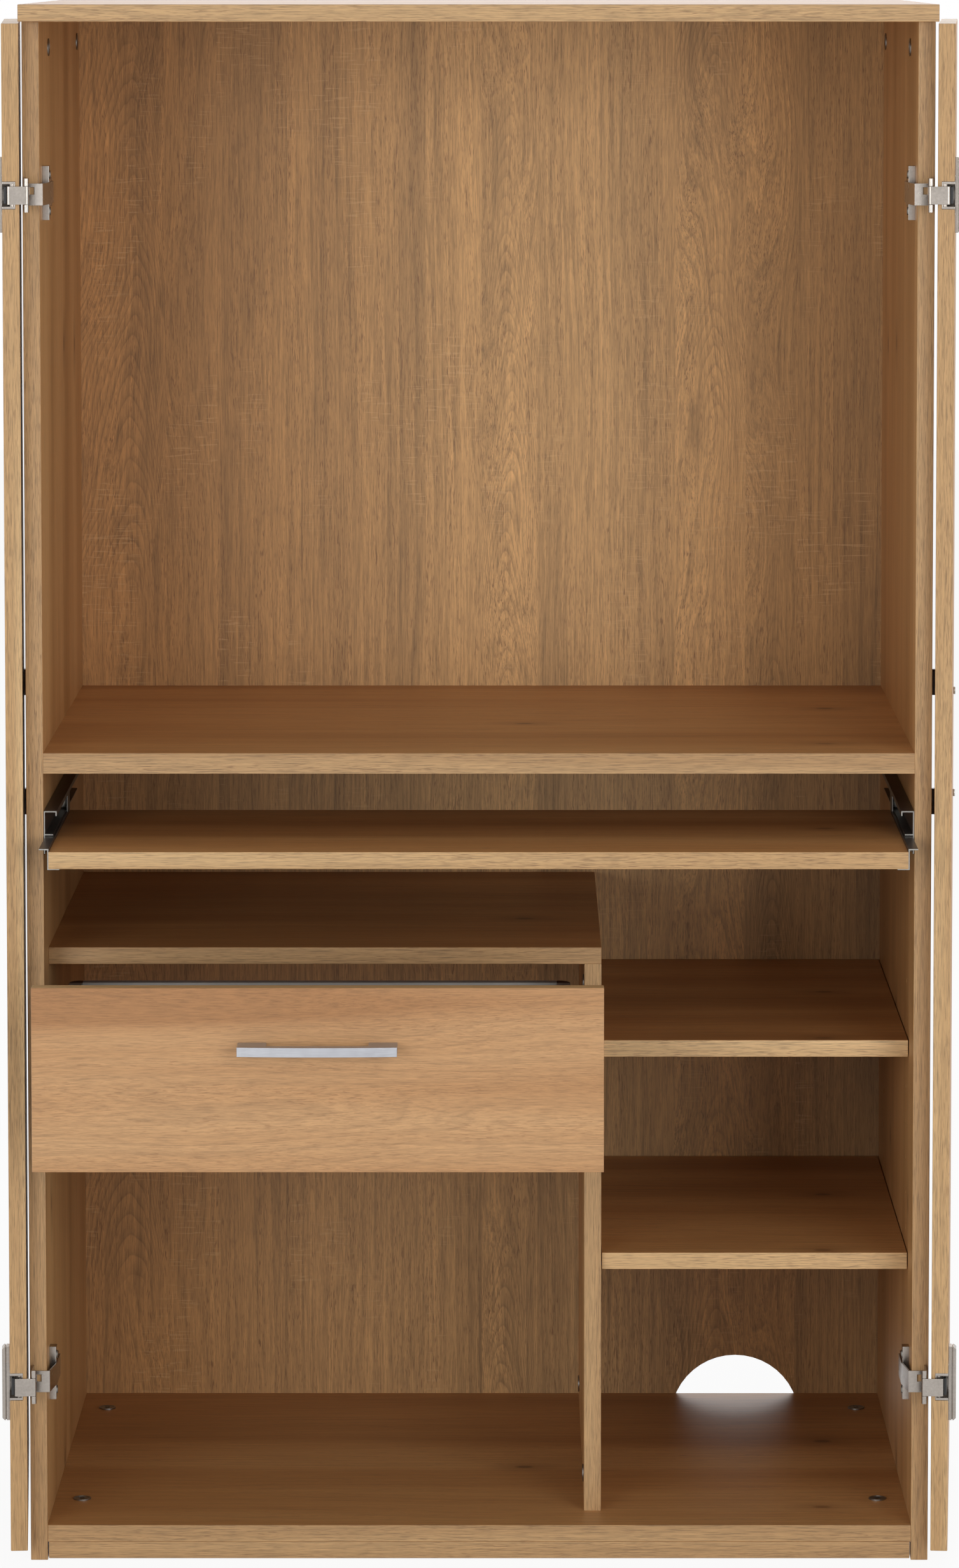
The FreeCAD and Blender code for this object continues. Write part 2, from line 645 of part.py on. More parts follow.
BOTTOM = slab("bottom_board", (f"-{INNER}", "0", "bottom_board_height"), (INNER, BACK_FACE, BOTTOM_TOP))
slab("plinth_rail", (f"plinth_end_gap - {INNER}", "0", "plinth_gap"),
     (f"{INNER} - plinth_end_gap", "board", "bottom_board_height"))
DESK = slab("desk_board", (f"-{INNER}", "0", DESK_UNDER), (INNER, BACK_FACE, "desk_top_height"))
DIVIDER = slab("divider_panel", ("divider_offset", "module_setback", BOTTOM_TOP),
               (DIVIDER_RIGHT, BACK_FACE, MODULE_TOP_UNDER))
MODULE_TOP = slab("drawer_top_shelf", (f"-{INNER}", "module_setback", MODULE_TOP_UNDER),
                  (DIVIDER_RIGHT, BACK_FACE, "module_height"))

PANEL_EDGE = f"({INNER} + groove_depth - groove_end_gap)"
PANEL = slab("back_panel", (f"-{PANEL_EDGE}", BACK_FACE, "bottom_board_height"),
             (PANEL_EDGE, f"{BACK_FACE} + back_sheet", "side_height + groove_depth - groove_end_gap"))
drill(PANEL, "XZ", BACK_FACE, [("cable_hole_offset", "cable_hole_centre")],
      "cable_hole_radius", "back_sheet", 1)


def row_of_holes(board, face, toward):
    """Two rows of shelf pin holes in one face of an upright board."""
    height = SHELF_PIN_HEIGHT.format(count=ROW_START_COUNT)
    centres = [(depth, height) for depth in ROW_DEPTHS]
    lowest = drill(board, "YZ", face, centres, "hole_diameter / 2", "hole_depth", toward, BAR_SIDES)
    repeat(board, lowest, "Z_Axis", ROW_HOLE_COUNT, f"{ROW_HOLE_COUNT - 1} * hole_pitch")


row_of_holes(SIDE["right"], INNER, 1)
row_of_holes(DIVIDER, DIVIDER_RIGHT, -1)

SHELF_PINS = []


def shelf(label, count):
    """A loose shelf on four pins, that many spacings up the rows."""
    pin_height = SHELF_PIN_HEIGHT.format(count=count)
    underside = add(pin_height, "pin_diameter / 2")
    slab(label, (f"{DIVIDER_RIGHT} + shelf_end_gap", "shelf_setback", underside),
         (f"{INNER} - shelf_end_gap", f"{BACK_FACE} - shelf_back_gap", add(underside, "board")))
    starts = {"left": f"{DIVIDER_RIGHT} - hole_depth", "right": f"{INNER} + hole_depth - pin_length"}
    for end, start in starts.items():
        for depth in ROW_DEPTHS:
            SHELF_PINS.append(bar(f"{label}_{end}_pin", "x", (start, depth, pin_height),
                                  "pin_length", "pin_diameter / 2"))


shelf("upper_right_shelf", UPPER_SHELF_COUNT)
shelf("lower_right_shelf", LOWER_SHELF_COUNT)
group("shelf_pins", SHELF_PINS)

for name, sign in SIDES.items():
    upright = SIDE[name]
    inner_face = f"{-sign} * {INNER}"
    for depth in SIDE_CAM_DEPTHS:
        cam_joint(f"{name}_top", upright, TOP, [inner_face, depth, "side_height - cam_edge_distance"],
                  ("x", sign), ("z", 1))
    for depth in BOARD_CAM_DEPTHS:
        from_side = f"{-sign} * ({INNER} - cam_edge_distance)"
        cam_joint(f"{name}_bottom", BOTTOM, upright, [from_side, depth, BOTTOM_TOP],
                  ("z", 1), ("x", -sign))
        cam_joint(f"{name}_desk", DESK, upright, [from_side, depth, DESK_UNDER],
                  ("z", -1), ("x", -sign), "desk_board_thickness")

for depth in BOARD_CAM_DEPTHS:
    cam_joint("module_top", MODULE_TOP, SIDE["left"], [f"cam_edge_distance - {INNER}", depth,
              MODULE_TOP_UNDER], ("z", -1), ("x", -1))
    cam_joint("divider_bottom", DIVIDER, BOTTOM, ["divider_offset", depth,
              f"{BOTTOM_TOP} + cam_edge_distance"], ("x", -1), ("z", -1))
    cam_joint("divider_top", DIVIDER, MODULE_TOP, ["divider_offset", depth,
              f"{MODULE_TOP_UNDER} - cam_edge_distance"], ("x", -1), ("z", 1))

group("cam_locks", CAM_LOCKS)
group("cam_bolts", CAM_BOLTS)

# ---------------------------------------------------------------- bow handles

def handle(body, plane, along_middle, face, across_middle, sign=1):
    """A bow handle in one piece, its feet on a face that looks towards -Y.

    plane holds its length and its reach; sign turns the way across for a mirrored door."""
    half = "handle_length / 2"
    gap = less(half, "handle_foot")
    inner = "(handle_end_reach - handle_bar)"
    chain = [(f"-({half})", "0"), (f"-({gap})", "0"), (f"-({gap})", inner), (gap, inner),
             (gap, "0"), (half, "0"), (half, "handle_end_reach"), (f"-({half})", "handle_end_reach")]
    if plane == "XY":
        corners = [(add(along_middle, u), less(face, v)) for u, v in chain]
        bulge = 1
    else:
        corners = [(less(face, v), add(along_middle, u)) for u, v in chain]
        bulge = -1
    sketch = new_sketch(body, plane, less(across_middle, "handle_width / 2"))
    spots = outline(sketch, corners, {6: ("handle_bow_radius", bulge)})
    pad(body, sketch, plane, "handle_width")
    for number in (2, 3):
        round_edges(body, "handle_inner_round", through(spots[number], plane))
    bores = new_sketch(body, "XZ", face)
    screws = [f"{way} * handle_screw_pitch / 2" for way in (-1, 1)]
    if plane == "XY":
        centres = [(add(along_middle, screw), across_middle) for screw in screws]
    else:
        centres = [(across_middle, add(along_middle, screw)) for screw in screws]
    polygons(bores, centres, "screw_diameter / 2 + cam_play", BAR_SIDES)
    pocket(body, bores, "XZ", "screw_grip", -1)


# ---------------------------------------------------------------- doors and corner hinges

def in_hinge_frame(thing, sign, height, turned):
    """Puts a piece's own zero on the pivot; a turned one swings with the door."""
    place(thing, f"{-sign} * (body_width / 2 - pivot_inset)", "-pivot_front", height)
    if turned:
        thing.Placement.Rotation = FreeCAD.Rotation(FreeCAD.Vector(0, 0, 1), sign * 90)
        bind(thing, "Placement.Rotation.Angle", f"{sign} * {FOLD_ANGLE}")


def swung_body(label, sign, height, turned, node=True):
    body = new_body(label, node=node)
    CORNERS[body.Name] = ("0", "0", "0")
    in_hinge_frame(body, sign, height, turned)
    return body


def inward(sign, distance):
    return f"{sign} * ({distance})"


def leaf(name, sign, height):
    """The door's half of the knuckle, with a leaf over the door's edge and an arm into the cup."""
    body = swung_body(name, sign, height, True, node=False)
    low = "-leaf_height / 2"
    sheet = new_sketch(body, "XY", low)
    chain = [("-knuckle_radius", "0"), ("-knuckle_radius", "leaf_reach"),
             ("leaf_arm_length", "leaf_reach"), ("leaf_arm_length", "leaf_reach - hinge_sheet"),
             ("hinge_sheet - knuckle_radius", "leaf_reach - hinge_sheet"),
             ("hinge_sheet - knuckle_radius", "0")]
    spots = outline(sheet, [(inward(sign, x), y) for x, y in chain])
    pad(body, sheet, "XY", "leaf_height")
    round_edges(body, "leaf_round", through(spots[1], "XY"))
    knuckle = new_sketch(body, "XY", low)
    polygons(knuckle, [("0", "0")], "knuckle_radius", HINGE_SIDES)
    pad(body, knuckle, "XY", "leaf_height")
    bore = new_sketch(body, "XY", low)
    polygons(bore, [("0", "0")], "pin_radius + pin_play", HINGE_SIDES)
    pocket(body, bore, "XY", "leaf_height", 1)
    return body


def bracket(label, sign, height):
    """The cabinet's half: two knuckles and their pin, a plate before the side and an arm inside."""
    body = swung_body(label, sign, height, False)
    low = "-knuckle_height / 2"
    front = "pivot_front - bracket_front_gap"
    arm = f"{INNER_FACE} + mount_thickness"
    turn_in = f"{INNER_FACE} + bracket_bend"
    rise = "pivot_front + bracket_arm_rise"
    end = "pivot_front + bracket_arm_end"
    sheet = new_sketch(body, "XY", low)
    chain = [("-knuckle_radius", "0"), ("-knuckle_radius", front), (turn_in, front), (arm, rise),
             (arm, end), (f"{arm} + hinge_sheet", end), (f"{arm} + hinge_sheet", rise),
             (f"{turn_in} + hinge_sheet", f"{front} - hinge_sheet"),
             ("hinge_sheet - knuckle_radius", f"{front} - hinge_sheet"),
             ("hinge_sheet - knuckle_radius", "0")]
    outline(sheet, [(inward(sign, x), y) for x, y in chain])
    pad(body, sheet, "XY", "knuckle_height")
    for way in (-1, 1):
        near = f"{way} * bracket_height / 2"
        far = f"{way} * knuckle_height"
        cut_box(body, "XZ", "0", (inward(sign, "hinge_sheet - knuckle_radius"), near),
                (inward(sign, f"{arm} + {BEYOND}"), far), f"{end} + {BEYOND}", 1)
    opening = "(leaf_height / 2 + knuckle_gap)"
    cut_box(body, "YZ", inward(sign, f"-{BEYOND}"), (f"-{BEYOND}", f"-{opening}"),
            ("bracket_window", opening), f"2 * {BEYOND}", sign)
    for way in (-1, 1):
        knuckle = new_sketch(body, "XY", f"{way} * {opening}")
        polygons(knuckle, [("0", "0")], "knuckle_radius", HINGE_SIDES)
        pad(body, knuckle, "XY", f"knuckle_height / 2 - {opening}", way)
    pin = new_sketch(body, "XY", low)
    polygons(pin, [("0", "0")], "pin_radius", HINGE_SIDES)
    pad(body, pin, "XY", "knuckle_height")
    cut_box(body, "XZ", front, (inward(sign, "slot_offset"), "0"),
            (inward(sign, "slot_offset + slot_width"), "slot_height"), "hinge_sheet", -1)
    return body


def mounting_plate(name, sign, height):
    """A cross-shaped plate on the side's inner face, under the bracket's arm."""
    body = swung_body(name, sign, height, False, node=False)
    front = "pivot_front + bracket_arm_rise"
    face = inward(sign, INNER_FACE)
    waist = "mount_waist / 2"
    wing = "wing_height / 2"
    pad_box(body, "YZ", face, (front, f"-{waist}"), ("pivot_front + bracket_arm_end", waist),
            "mount_thickness", sign)
    pad_box(body, "YZ", face, (front, f"-{wing}"), (f"{front} + wing_depth", wing),
            "mount_thickness", sign)
    bores = new_sketch(body, "YZ", face)
    centres = [(f"pivot_front + {WING_SCREW}", f"{way} * hole_pitch / 2") for way in (-1, 1)]
    polygons(bores, centres, "hole_diameter / 2", BAR_SIDES)
    pocket(body, bores, "YZ", "mount_thickness", sign)
    return body


def hinge_cup(label, sign, height):
    """A cup let into the door at its hinge edge, with a flange and its cover on the door's face."""
    body = swung_body(label, sign, height, True)
    floor = less(DOOR_INNER, "cup_depth")
    cup = new_sketch(body, "XZ", floor)
    centre = (inward(sign, CUP_CENTRE), "0")
    polygons(cup, [centre], "cup_radius - cup_play", HINGE_SIDES)
    pad(body, cup, "XZ", "cup_depth")
    hollow = new_sketch(body, "XZ", f"{floor} + cup_wall")
    polygons(hollow, [centre], "cup_radius - cup_play - cup_wall", HINGE_SIDES)
    pocket(body, hollow, "XZ", "cup_depth", 1)
    cut_box(body, "XZ", floor, (inward(sign, f"{CUP_CENTRE} - 2 * cup_radius"), "-cup_radius"),
            (inward(sign, DOOR_EDGE), "cup_radius"), "cup_depth", 1)
    pin = new_sketch(body, "XY", "-cup_pin_length / 2")
    polygons(pin, [(inward(sign, f"{DOOR_EDGE} + cup_pin_offset"), less(DOOR_INNER, "cup_pin_depth"))],
             "cup_pin_radius", BAR_SIDES)
    pad(body, pin, "XY", "cup_pin_length")
    layers = [("0", "0", "flange_sheet"), ("flange_sheet", "flange_slot", "flange_slot"),
              ("flange_sheet + flange_slot", "0", "flange_sheet")]
    for start, inset, thickness in layers:
        low = (inward(sign, f"{FLANGE_EDGE} + {inset}"), f"{inset} - flange_height / 2")
        high = (inward(sign, f"{FLANGE_EDGE} + flange_width - {inset}"), f"flange_height / 2 - {inset}")
        pad_box(body, "XZ", f"{DOOR_INNER} + {start}", low, high, thickness)
    outer_face = size("pivot_front") - size("door_front_gap") + 2 * size("flange_sheet") + size("flange_slot")
    chamfer_edges(body, "cover_chamfer", lambda edge: along(edge, 0)
                  and abs(edge.CenterOfMass.y - outer_face) < 1e-4)
    return body


def catch(name, sign, height):
    """The sprung catch block that lies on the leaf's arm inside the cup."""
    body = swung_body(name, sign, height, True, node=False)
    pad_box(body, "XZ", "leaf_reach + catch_gap",
            (inward(sign, f"{DOOR_EDGE} + cup_wall"), "-catch_height / 2"),
            (inward(sign, f"{DOOR_EDGE} + cup_wall + catch_width"), "catch_height / 2"),
            "catch_thickness")
    return body


def door(name, sign):
    """A full-height door with its handle and its halves of the two hinges, folded right back."""
    panel = swung_body(f"{name}_door_panel", sign, "0", True)
    edges = [inward(sign, DOOR_EDGE), inward(sign, f"{DOOR_EDGE} + {DOOR_WIDTH}")]
    pad_box(panel, "XY", "door_floor_gap", (edges[0], DOOR_OUTER), (edges[1], DOOR_INNER), DOOR_HEIGHT)
    cups = [(inward(sign, CUP_CENTRE), height) for height in HINGE_HEIGHTS.values()]
    drill(panel, "XZ", DOOR_INNER, cups, "cup_radius", "cup_depth", -1)
    across = inward(sign, DOOR_HANDLE)
    screw_heights = [f"door_handle_height + {way} * handle_screw_pitch / 2" for way in (-1, 1)]
    drill(panel, "XZ", DOOR_INNER, [(across, height) for height in screw_heights],
          "screw_diameter / 2 + screw_play", "board", -1, BAR_SIDES)

    grip = swung_body(f"{name}_door_handle", sign, "0", True)
    handle(grip, "YZ", "door_handle_height", DOOR_OUTER, across)

    screws = []
    for height in screw_heights:
        parts = [("head", CAM_SIDES, DOOR_INNER, "screw_head_height", "screw_head_diameter / 2"),
                 ("shank", BAR_SIDES, f"{DOOR_OUTER} - screw_grip", "board + screw_grip",
                  "screw_diameter / 2")]
        pieces = []
        for part, sides, start, length, radius in parts:
            piece = bar(f"{name}_door_screw_{part}", "y", ("0", "0", "0"), length, radius, sides)
            bind(piece, "Placement.Base.x", across)
            bind(piece, "Placement.Base.y", start)
            bind(piece, "Placement.Base.z", height)
            pieces.append(piece)
        screw = fused(f"{name}_door_screw", pieces)
        in_hinge_frame(screw, sign, "0", True)
        screws.append(screw)
    group(f"{name}_door_handle_screws", screws)

    leaves = []
    catches = []
    for level, height in HINGE_HEIGHTS.items():
        hinge_cup(f"{name}_{level}_hinge_cup", sign, height)
        leaves.append(leaf(f"{name}_{level}_leaf", sign, height))
        catches.append(catch(f"{name}_{level}_catch", sign, height))
    group(f"{name}_hinge_leaves", leaves)
    group(f"{name}_hinge_catches", catches)


PLATES = []
PLATE_SCREWS = []
for name, sign in SIDES.items():
    door(name, sign)
    inner_face = f"{-sign} * {INNER}"
    for level, height in HINGE_HEIGHTS.items():
        bracket(f"{name}_{level}_hinge_bracket", sign, height)
        PLATES.append(mounting_plate(f"{name}_{level}_plate", sign, height))
        bores = [(WING_SCREW, f"{height} + {way} * hole_pitch / 2") for way in (-1, 1)]
        drill(SIDE[name], "YZ", inner_face, bores, "hole_diameter / 2", "hole_depth", -sign, BAR_SIDES)
        start = f"{inner_face} - hole_depth" if sign > 0 else f"{inner_face} - mount_thickness"
        for bore in bores:
            PLATE_SCREWS.append(bar(f"{name}_{level}_plate_screw", "x", (start, *bore),
                                    "mount_thickness + hole_depth", "plate_screw_diameter / 2"))
group("hinge_mounting_plates", PLATES)
group("hinge_plate_screws", PLATE_SCREWS)

# ---------------------------------------------------------------- roller slides

def section(body, corners, sign, front, length, base):
    """Sheet metal of one section, run from front to back.

    corners are counted from the board that the slide hangs on and from the slide's base."""
    sketch = new_sketch(body, "XZ", front)
    spots = outline(sketch, [(inward(sign, x), add(base, z)) for x, z in corners])
    pad(body, sketch, "XZ", length)
    return spots


def roller(name, wall, sign, start, depth, height, radius):
    """A plastic roller with a bore for its axle, turning about the X axis."""
    body = new_body(name, wall, depth, height, node=False)
    wheel = new_sketch(body, "YZ", inward(sign, start))
    circles(wheel, [("0", "0")], f"2 * {radius}")
    pad(body, wheel, "YZ", "roller_width", sign)
    bore = new_sketch(body, "YZ", inward(sign, start))
    polygons(bore, [("0", "0")], "axle_radius + axle_play", AXLE_SIDES)
    pocket(body, bore, "YZ", "roller_width", sign)
    return body


def slide(name, space, lip, boards_front, carried_front, carried_back, underside, walls):
    """A pair of roller slides: channels on the cabinet, rails on what they carry, four rollers.

    walls gives for each hand the face that the channel hangs on, lip the near side of its lip."""
    rail_base = less(underside, "rail_sheet")
    rail_top = add(rail_base, "rail_height")
    channel_base = add(rail_top, "channel_gap")
    channel_front = add(boards_front, "channel_setback")
    rail_front = add(carried_front, "rail_end_gap")
    rail_length = f"({carried_back}) - ({carried_front}) - 2 * rail_end_gap"
    front_depth = add(channel_front, "front_roller_setback")
    front_height = less(rail_top, "rail_sheet + roller_gap + front_roller_radius")
    rear_depth = f"({carried_back}) - rail_end_gap - rear_roller_inset"
    rear_height = add(channel_base, "rail_sheet + roller_gap + rear_roller_radius")
    front_rollers = []
    rear_rollers = []
    sheet = "rail_sheet"
    for hand, wall in walls.items():
        sign = SIDES[hand]
        channel = new_body(f"{hand}_{name}_channel", wall)
        ledge = f"{space} - rail_sheet - channel_gap"
        section(channel, [("0", "0"), (ledge, "0"), (ledge, sheet), (sheet, sheet),
                          (sheet, "channel_height - rail_sheet"), (lip, "channel_height - rail_sheet"),
                          (lip, "channel_height - channel_lip"),
                          (f"{lip} + rail_sheet", "channel_height - channel_lip"),
                          (f"{lip} + rail_sheet", "channel_height"), ("0", "channel_height")],
                sign, channel_front, "channel_length", channel_base)
        pad_box(channel, "YZ", "0", (channel_front, less(channel_base, "channel_tab_drop")),
                (add(channel_front, "channel_tab_length"), channel_base), sheet, sign)
        axle_stub = new_sketch(channel, "YZ", inward(sign, sheet))
        polygons(axle_stub, [(front_depth, front_height)], "axle_radius", AXLE_SIDES)
        pad(channel, axle_stub, "YZ", "2 * roller_gap + roller_width", sign)

        rail = new_body(f"{hand}_{name}_rail", wall)
        web = f"{space} - rail_sheet"
        flange = f"{sheet} + roller_gap"
        section(rail, [(web, "0"), (f"{space} + rail_foot", "0"), (f"{space} + rail_foot", sheet),
                       (space, sheet), (space, "rail_height"), (flange, "rail_height"),
                       (flange, "rail_height - rail_sheet"), (web, "rail_height - rail_sheet")],
                sign, rail_front, rail_length, rail_base)
        lug_front = less(add(rail_front, rail_length), "rail_lug_length")
        pad_box(rail, "YZ", inward(sign, web), (lug_front, rail_top),
                (add(lug_front, "rail_lug_length"), add(rail_top, "rail_lug_height")), sheet, sign)
        stub = "roller_width + 3 * roller_gap"
        axle_stub = new_sketch(rail, "YZ", inward(sign, f"{web} - ({stub})"))
        polygons(axle_stub, [(rear_depth, rear_height)], "axle_radius", AXLE_SIDES)
        pad(rail, axle_stub, "YZ", stub, sign)
        front_rollers.append(roller(f"{hand}_{name}_front_roller", wall, sign,
                                    f"{sheet} + roller_gap", front_depth, front_height,
                                    "front_roller_radius"))
        rear_rollers.append(roller(f"{hand}_{name}_rear_roller", wall, sign,
                                   f"{web} - 2 * roller_gap - roller_width", rear_depth, rear_height,
                                   "rear_roller_radius"))
    group(f"{name}_front_rollers", front_rollers)
    group(f"{name}_rear_rollers", rear_rollers)


# ---------------------------------------------------------------- keyboard tray

slab("keyboard_tray_board", (f"-{TRAY_EDGE}", "-tray_out", TRAY_UNDER),
     (TRAY_EDGE, TRAY_BACK, TRAY_TOP))
slide("tray", "tray_slide_space", "(tray_slide_space + roller_gap)", "0", "-tray_out", TRAY_BACK,
      TRAY_UNDER, {"left": f"-{INNER}", "right": INNER})

# ---------------------------------------------------------------- drawer

FRONT_BACK = f"({DRAWER_FACE} + board)"
FRONT = slab("drawer_front", (DRAWER_FRONT_LEFT, DRAWER_FACE, DRAWER_FRONT_BOTTOM),
             (DRAWER_FRONT_RIGHT, FRONT_BACK, DRAWER_FRONT_TOP))
drill(FRONT, "XZ", FRONT_BACK,
      [(f"{DRAWER_MIDDLE} + {way} * handle_screw_pitch / 2", DRAWER_HANDLE_HEIGHT) for way in (-1, 1)],
      "screw_diameter / 2 + screw_play", "board", -1, BAR_SIDES)

WALL_TOP = f"({DRAWER_WALL_BOTTOM} + drawer_wall_height)"
SHEET_LOW = f"({DRAWER_WALL_BOTTOM} + drawer_bottom_rise)"
SHEET_HIGH = f"({SHEET_LOW} + drawer_bottom_sheet)"


def drawer_wall(label, low, high, groove_low, groove_high):
    """A wall of the drawer, grooved for its bottom."""
    wall = slab(label, (low[0], low[1], DRAWER_WALL_BOTTOM), (high[0], high[1], WALL_TOP))
    corner = CORNERS[wall.Name]
    cut_box(wall, "XY", less(SHEET_LOW, f"{corner[2]} + groove_play"),
            (less(groove_low[0], corner[0]), less(groove_low[1], corner[1])),
            (less(groove_high[0], corner[0]), less(groove_high[1], corner[1])),
            "drawer_bottom_sheet + 2 * groove_play", 1)
    return wall


WALL_BACK = f"({DRAWER_BACK} - drawer_wall)"
LEFT_INNER = f"({DRAWER_LEFT} + drawer_wall)"
RIGHT_INNER = f"({DRAWER_RIGHT} - drawer_wall)"
drawer_wall("drawer_left_wall", (DRAWER_LEFT, FRONT_BACK), (LEFT_INNER, WALL_BACK),
            (f"{LEFT_INNER} - drawer_groove_depth", FRONT_BACK), (LEFT_INNER, WALL_BACK))
drawer_wall("drawer_right_wall", (RIGHT_INNER, FRONT_BACK), (DRAWER_RIGHT, WALL_BACK),
            (RIGHT_INNER, FRONT_BACK), (f"{RIGHT_INNER} + drawer_groove_depth", WALL_BACK))
drawer_wall("drawer_back_wall", (LEFT_INNER, WALL_BACK), (RIGHT_INNER, DRAWER_BACK),
            (LEFT_INNER, WALL_BACK), (RIGHT_INNER, f"{WALL_BACK} + drawer_groove_depth"))
slab("drawer_bottom", (f"{LEFT_INNER} - drawer_groove_depth + groove_end_gap", FRONT_BACK, SHEET_LOW),
     (f"{RIGHT_INNER} + drawer_groove_depth - groove_end_gap",
      WALL_BACK, SHEET_HIGH))


def corner_piece(name, low, high, outer):
    """The rounded plastic column that joins two walls at the back."""
    body = new_body(name, low, WALL_BACK, DRAWER_WALL_BOTTOM, node=False)
    reach = less(high, low)
    sketch, spots = pad_box(body, "XY", "0", ("0", "0"), (reach, "drawer_wall"), "drawer_wall_height")
    round_edges(body, "drawer_corner_round", through(spots[outer], "XY"))
    return body


group("drawer_corner_pieces", [
    corner_piece("left_corner", DRAWER_LEFT, LEFT_INNER, 3),
    corner_piece("right_corner", RIGHT_INNER, DRAWER_RIGHT, 2),
])

GRIP = new_body("drawer_handle")
handle(GRIP, "XY", DRAWER_MIDDLE, DRAWER_FACE, DRAWER_HANDLE_HEIGHT)
group("drawer_handle_screws", [
    stepped("drawer_screw", "y", 1, [f"{DRAWER_MIDDLE} + {way} * handle_screw_pitch / 2", FRONT_BACK,
                                     DRAWER_HANDLE_HEIGHT],
            "screw_head_height", "screw_head_diameter / 2", "board + screw_grip", "screw_diameter / 2")
    for way in (-1, 1)])

slide("drawer", "drawer_slide_space", "(drawer_slide_space - rail_sheet - roller_gap)",
      "module_setback", FRONT_BACK, DRAWER_BACK, DRAWER_WALL_BOTTOM,
      {"left": f"-{INNER}", "right": "divider_offset"})

# ---------------------------------------------------------------- checks and files

DRAWING.recompute()
for item in DRAWING.Objects:
    if "Invalid" in item.State or "Error" in item.State:
        raise RuntimeError(f"{item.Label} failed: {item.State}")
    if item.TypeId == "PartDesign::Pocket":
        before = item.BaseFeature.Shape.Volume
        if before - item.Shape.Volume < 1e-3:
            raise RuntimeError(f"{item.Label} cuts nothing")
for node in NODES:
    if node.Shape.isNull() or not node.Shape.isValid():
        raise RuntimeError(f"{node.Label} has no valid shape")

os.makedirs("parts", exist_ok=True)
for node in NODES:
    node.Shape.exportStep(f"parts/{node.Label}.step")
print(len(NODES), "nodes written")
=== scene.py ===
import json
import math
import bmesh
import bpy
from mathutils import Matrix, Vector


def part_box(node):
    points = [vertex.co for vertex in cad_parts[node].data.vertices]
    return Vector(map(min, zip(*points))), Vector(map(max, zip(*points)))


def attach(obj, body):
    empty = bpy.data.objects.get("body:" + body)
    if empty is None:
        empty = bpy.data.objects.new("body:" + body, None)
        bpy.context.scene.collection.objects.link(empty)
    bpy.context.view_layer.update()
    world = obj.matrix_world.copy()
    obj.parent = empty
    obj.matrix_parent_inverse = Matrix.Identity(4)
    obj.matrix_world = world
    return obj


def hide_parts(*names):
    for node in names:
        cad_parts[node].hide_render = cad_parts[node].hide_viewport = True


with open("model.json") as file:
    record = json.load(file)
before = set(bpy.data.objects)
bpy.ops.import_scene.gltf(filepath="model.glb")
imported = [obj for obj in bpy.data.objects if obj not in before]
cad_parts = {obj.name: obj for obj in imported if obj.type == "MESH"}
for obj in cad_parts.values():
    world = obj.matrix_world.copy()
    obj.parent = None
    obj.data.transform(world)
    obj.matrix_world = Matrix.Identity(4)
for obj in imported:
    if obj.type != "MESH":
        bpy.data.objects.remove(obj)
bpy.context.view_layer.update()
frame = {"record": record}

# Metres. x runs to the right, y from the open front to the back, z up.
SIDE_LOW_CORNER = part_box("left_side_panel")[0]
FRONT_PLANE = SIDE_LOW_CORNER.y

SLOT_OF = {row["node"]: row["material_slot"] for row in frame["record"]["subparts"]}
BODY_OF = {}
for body, nodes in frame["record"]["behaviour"]["bodies"].items():
    for node in nodes:
        BODY_OF[node] = body


# ---------------------------------------------------------------- material helpers

def srgb(red, green, blue):
    """A colour written as it looks on a screen, 0 to 255, in the linear values that nodes take."""
    channels = []
    for value in (red, green, blue):
        share = value / 255
        channels.append(share / 12.92 if share <= 0.04045 else ((share + 0.055) / 1.055) ** 2.4)
    return (*channels, 1.0)


